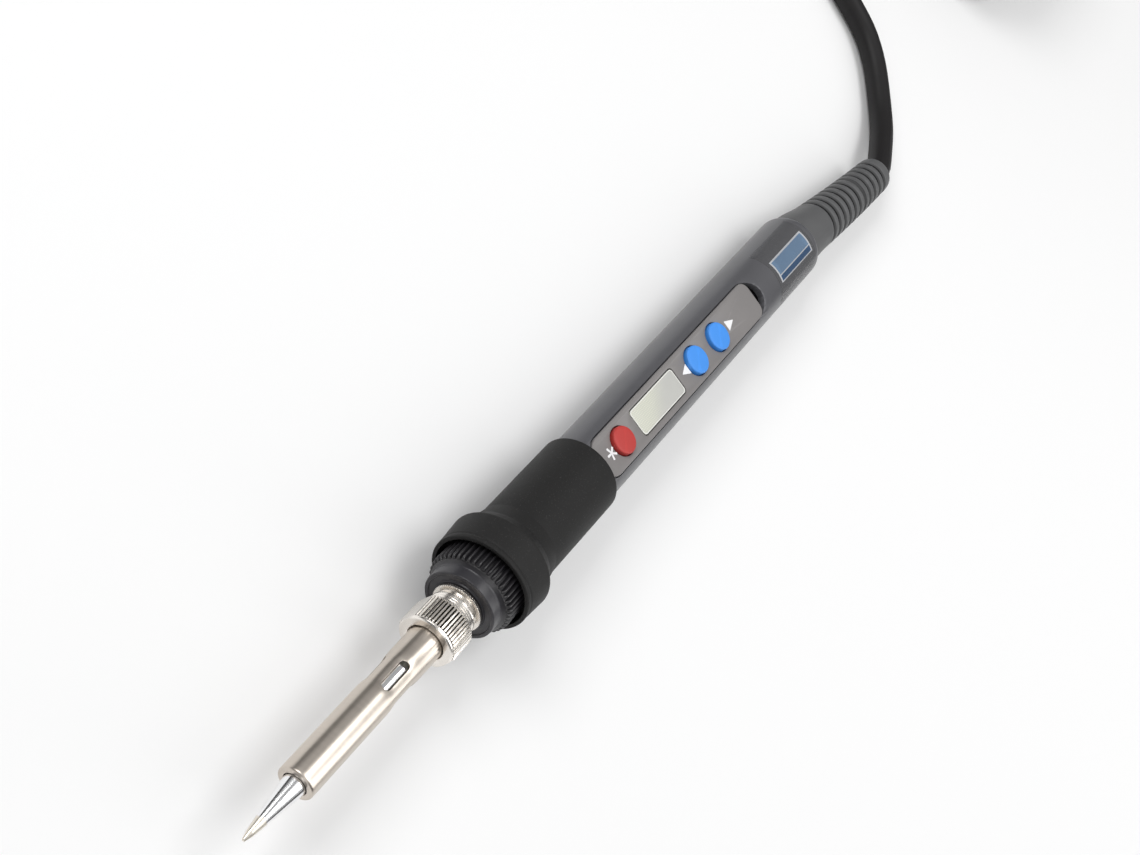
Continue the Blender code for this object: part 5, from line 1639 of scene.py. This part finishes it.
class IRON_OT_insides(bpy.types.Operator):
    """Gives the pieces inside the handle their finishes"""

    bl_idname = "iron.insides"
    bl_label = "Finish the insides"

    def execute(self, context):
        cord = tuple(finishes().cord)
        switches = tuple(f"{n}_{k}" for n in ("power", "down", "up") for k in ("plunger", "switch"))
        leads = tuple(f"heater_lead_{i}" for i in range(1, 5))
        heater = ("heater_rod", "heater_base")
        screws = ("collar_screw_left", "collar_screw_right")
        chips = ("triac", "microcontroller")
        worn_by = (
            (moulded("insides_ceramic", (0.72, 0.69, 0.62), 0.55, grain_mm=0.02), heater),
            (moulded("insides_board", (0.02, 0.14, 0.05), 0.35, grain_mm=0.01), ("circuit_board",)),
            (moulded("insides_switch", (0.03, 0.03, 0.03), 0.4, grain_mm=0.01), switches),
            (metal("insides_tin", (0.68, 0.68, 0.66), 0.3), ("display_module",)),
            (metal("insides_steel", (0.55, 0.55, 0.54), 0.25), screws),
            (moulded("insides_chip", (0.015, 0.015, 0.016), 0.5, grain_mm=0.02), chips),
            (moulded("insides_can", (0.012, 0.012, 0.014), 0.3, grain_mm=0.01), ("filter_capacitor",)),
            (moulded("insides_glass_sleeve", (0.70, 0.68, 0.60), 0.7, grain=5000.0, grain_mm=0.03), leads),
            (moulded("insides_live", (0.16, 0.06, 0.02), 0.45), ("live_wire",)),
            (moulded("insides_neutral", (0.02, 0.08, 0.40), 0.45), ("neutral_wire",)),
            (moulded("insides_earth", (0.16, 0.32, 0.02), 0.45), ("earth_wire",)),
            (moulded("insides_jacket", cord, 0.5), ("cord_inner", "cord_stop")),
        )
        for finish, nodes in worn_by:
            for node in nodes:
                for item in frame["nodes"][node].material_slots:
                    item.material = finish.material
        return {"FINISHED"}


OPERATORS = (
    IRON_OT_camera,
    IRON_OT_cord,
    IRON_OT_stage,
    IRON_OT_tip,
    IRON_OT_barrel,
    IRON_OT_nut,
    IRON_OT_ferrule,
    IRON_OT_collar,
    IRON_OT_sleeve,
    IRON_OT_housing,
    IRON_OT_panel,
    IRON_OT_display,
    IRON_OT_buttons,
    IRON_OT_marks,
    IRON_OT_label,
    IRON_OT_boot,
    IRON_OT_insides,
)


class IRON_PT_builder(bpy.types.Panel):
    """Lists the iron's pieces, their sizes and their colours"""

    bl_idname = "IRON_PT_builder"
    bl_label = "Soldering Iron"
    bl_space_type = "VIEW_3D"
    bl_region_type = "UI"
    bl_category = "Soldering Iron"

    def draw(self, context):
        for operator in OPERATORS:
            self.layout.operator(operator.bl_idname)
        for settings in (context.scene.iron_sizes, context.scene.iron_finishes):
            box = self.layout.box()
            for name in settings.bl_rna.properties.keys():
                if name not in ("rna_type", "name"):
                    box.prop(settings, name)


CLASSES = (IRON_PG_finishes, IRON_PG_sizes, *OPERATORS, IRON_PT_builder)


def register():
    for cls in CLASSES:
        bpy.utils.register_class(cls)
    bpy.types.Scene.iron_finishes = bpy.props.PointerProperty(type=IRON_PG_finishes)
    bpy.types.Scene.iron_sizes = bpy.props.PointerProperty(type=IRON_PG_sizes)


def unregister():
    del bpy.types.Scene.iron_sizes
    del bpy.types.Scene.iron_finishes
    for cls in reversed(CLASSES):
        bpy.utils.unregister_class(cls)


def main():
    register()
    for operator in OPERATORS:
        group_name, verb = operator.bl_idname.split(".")
        getattr(getattr(bpy.ops, group_name), verb)()


if __name__ == "__main__":
    main()
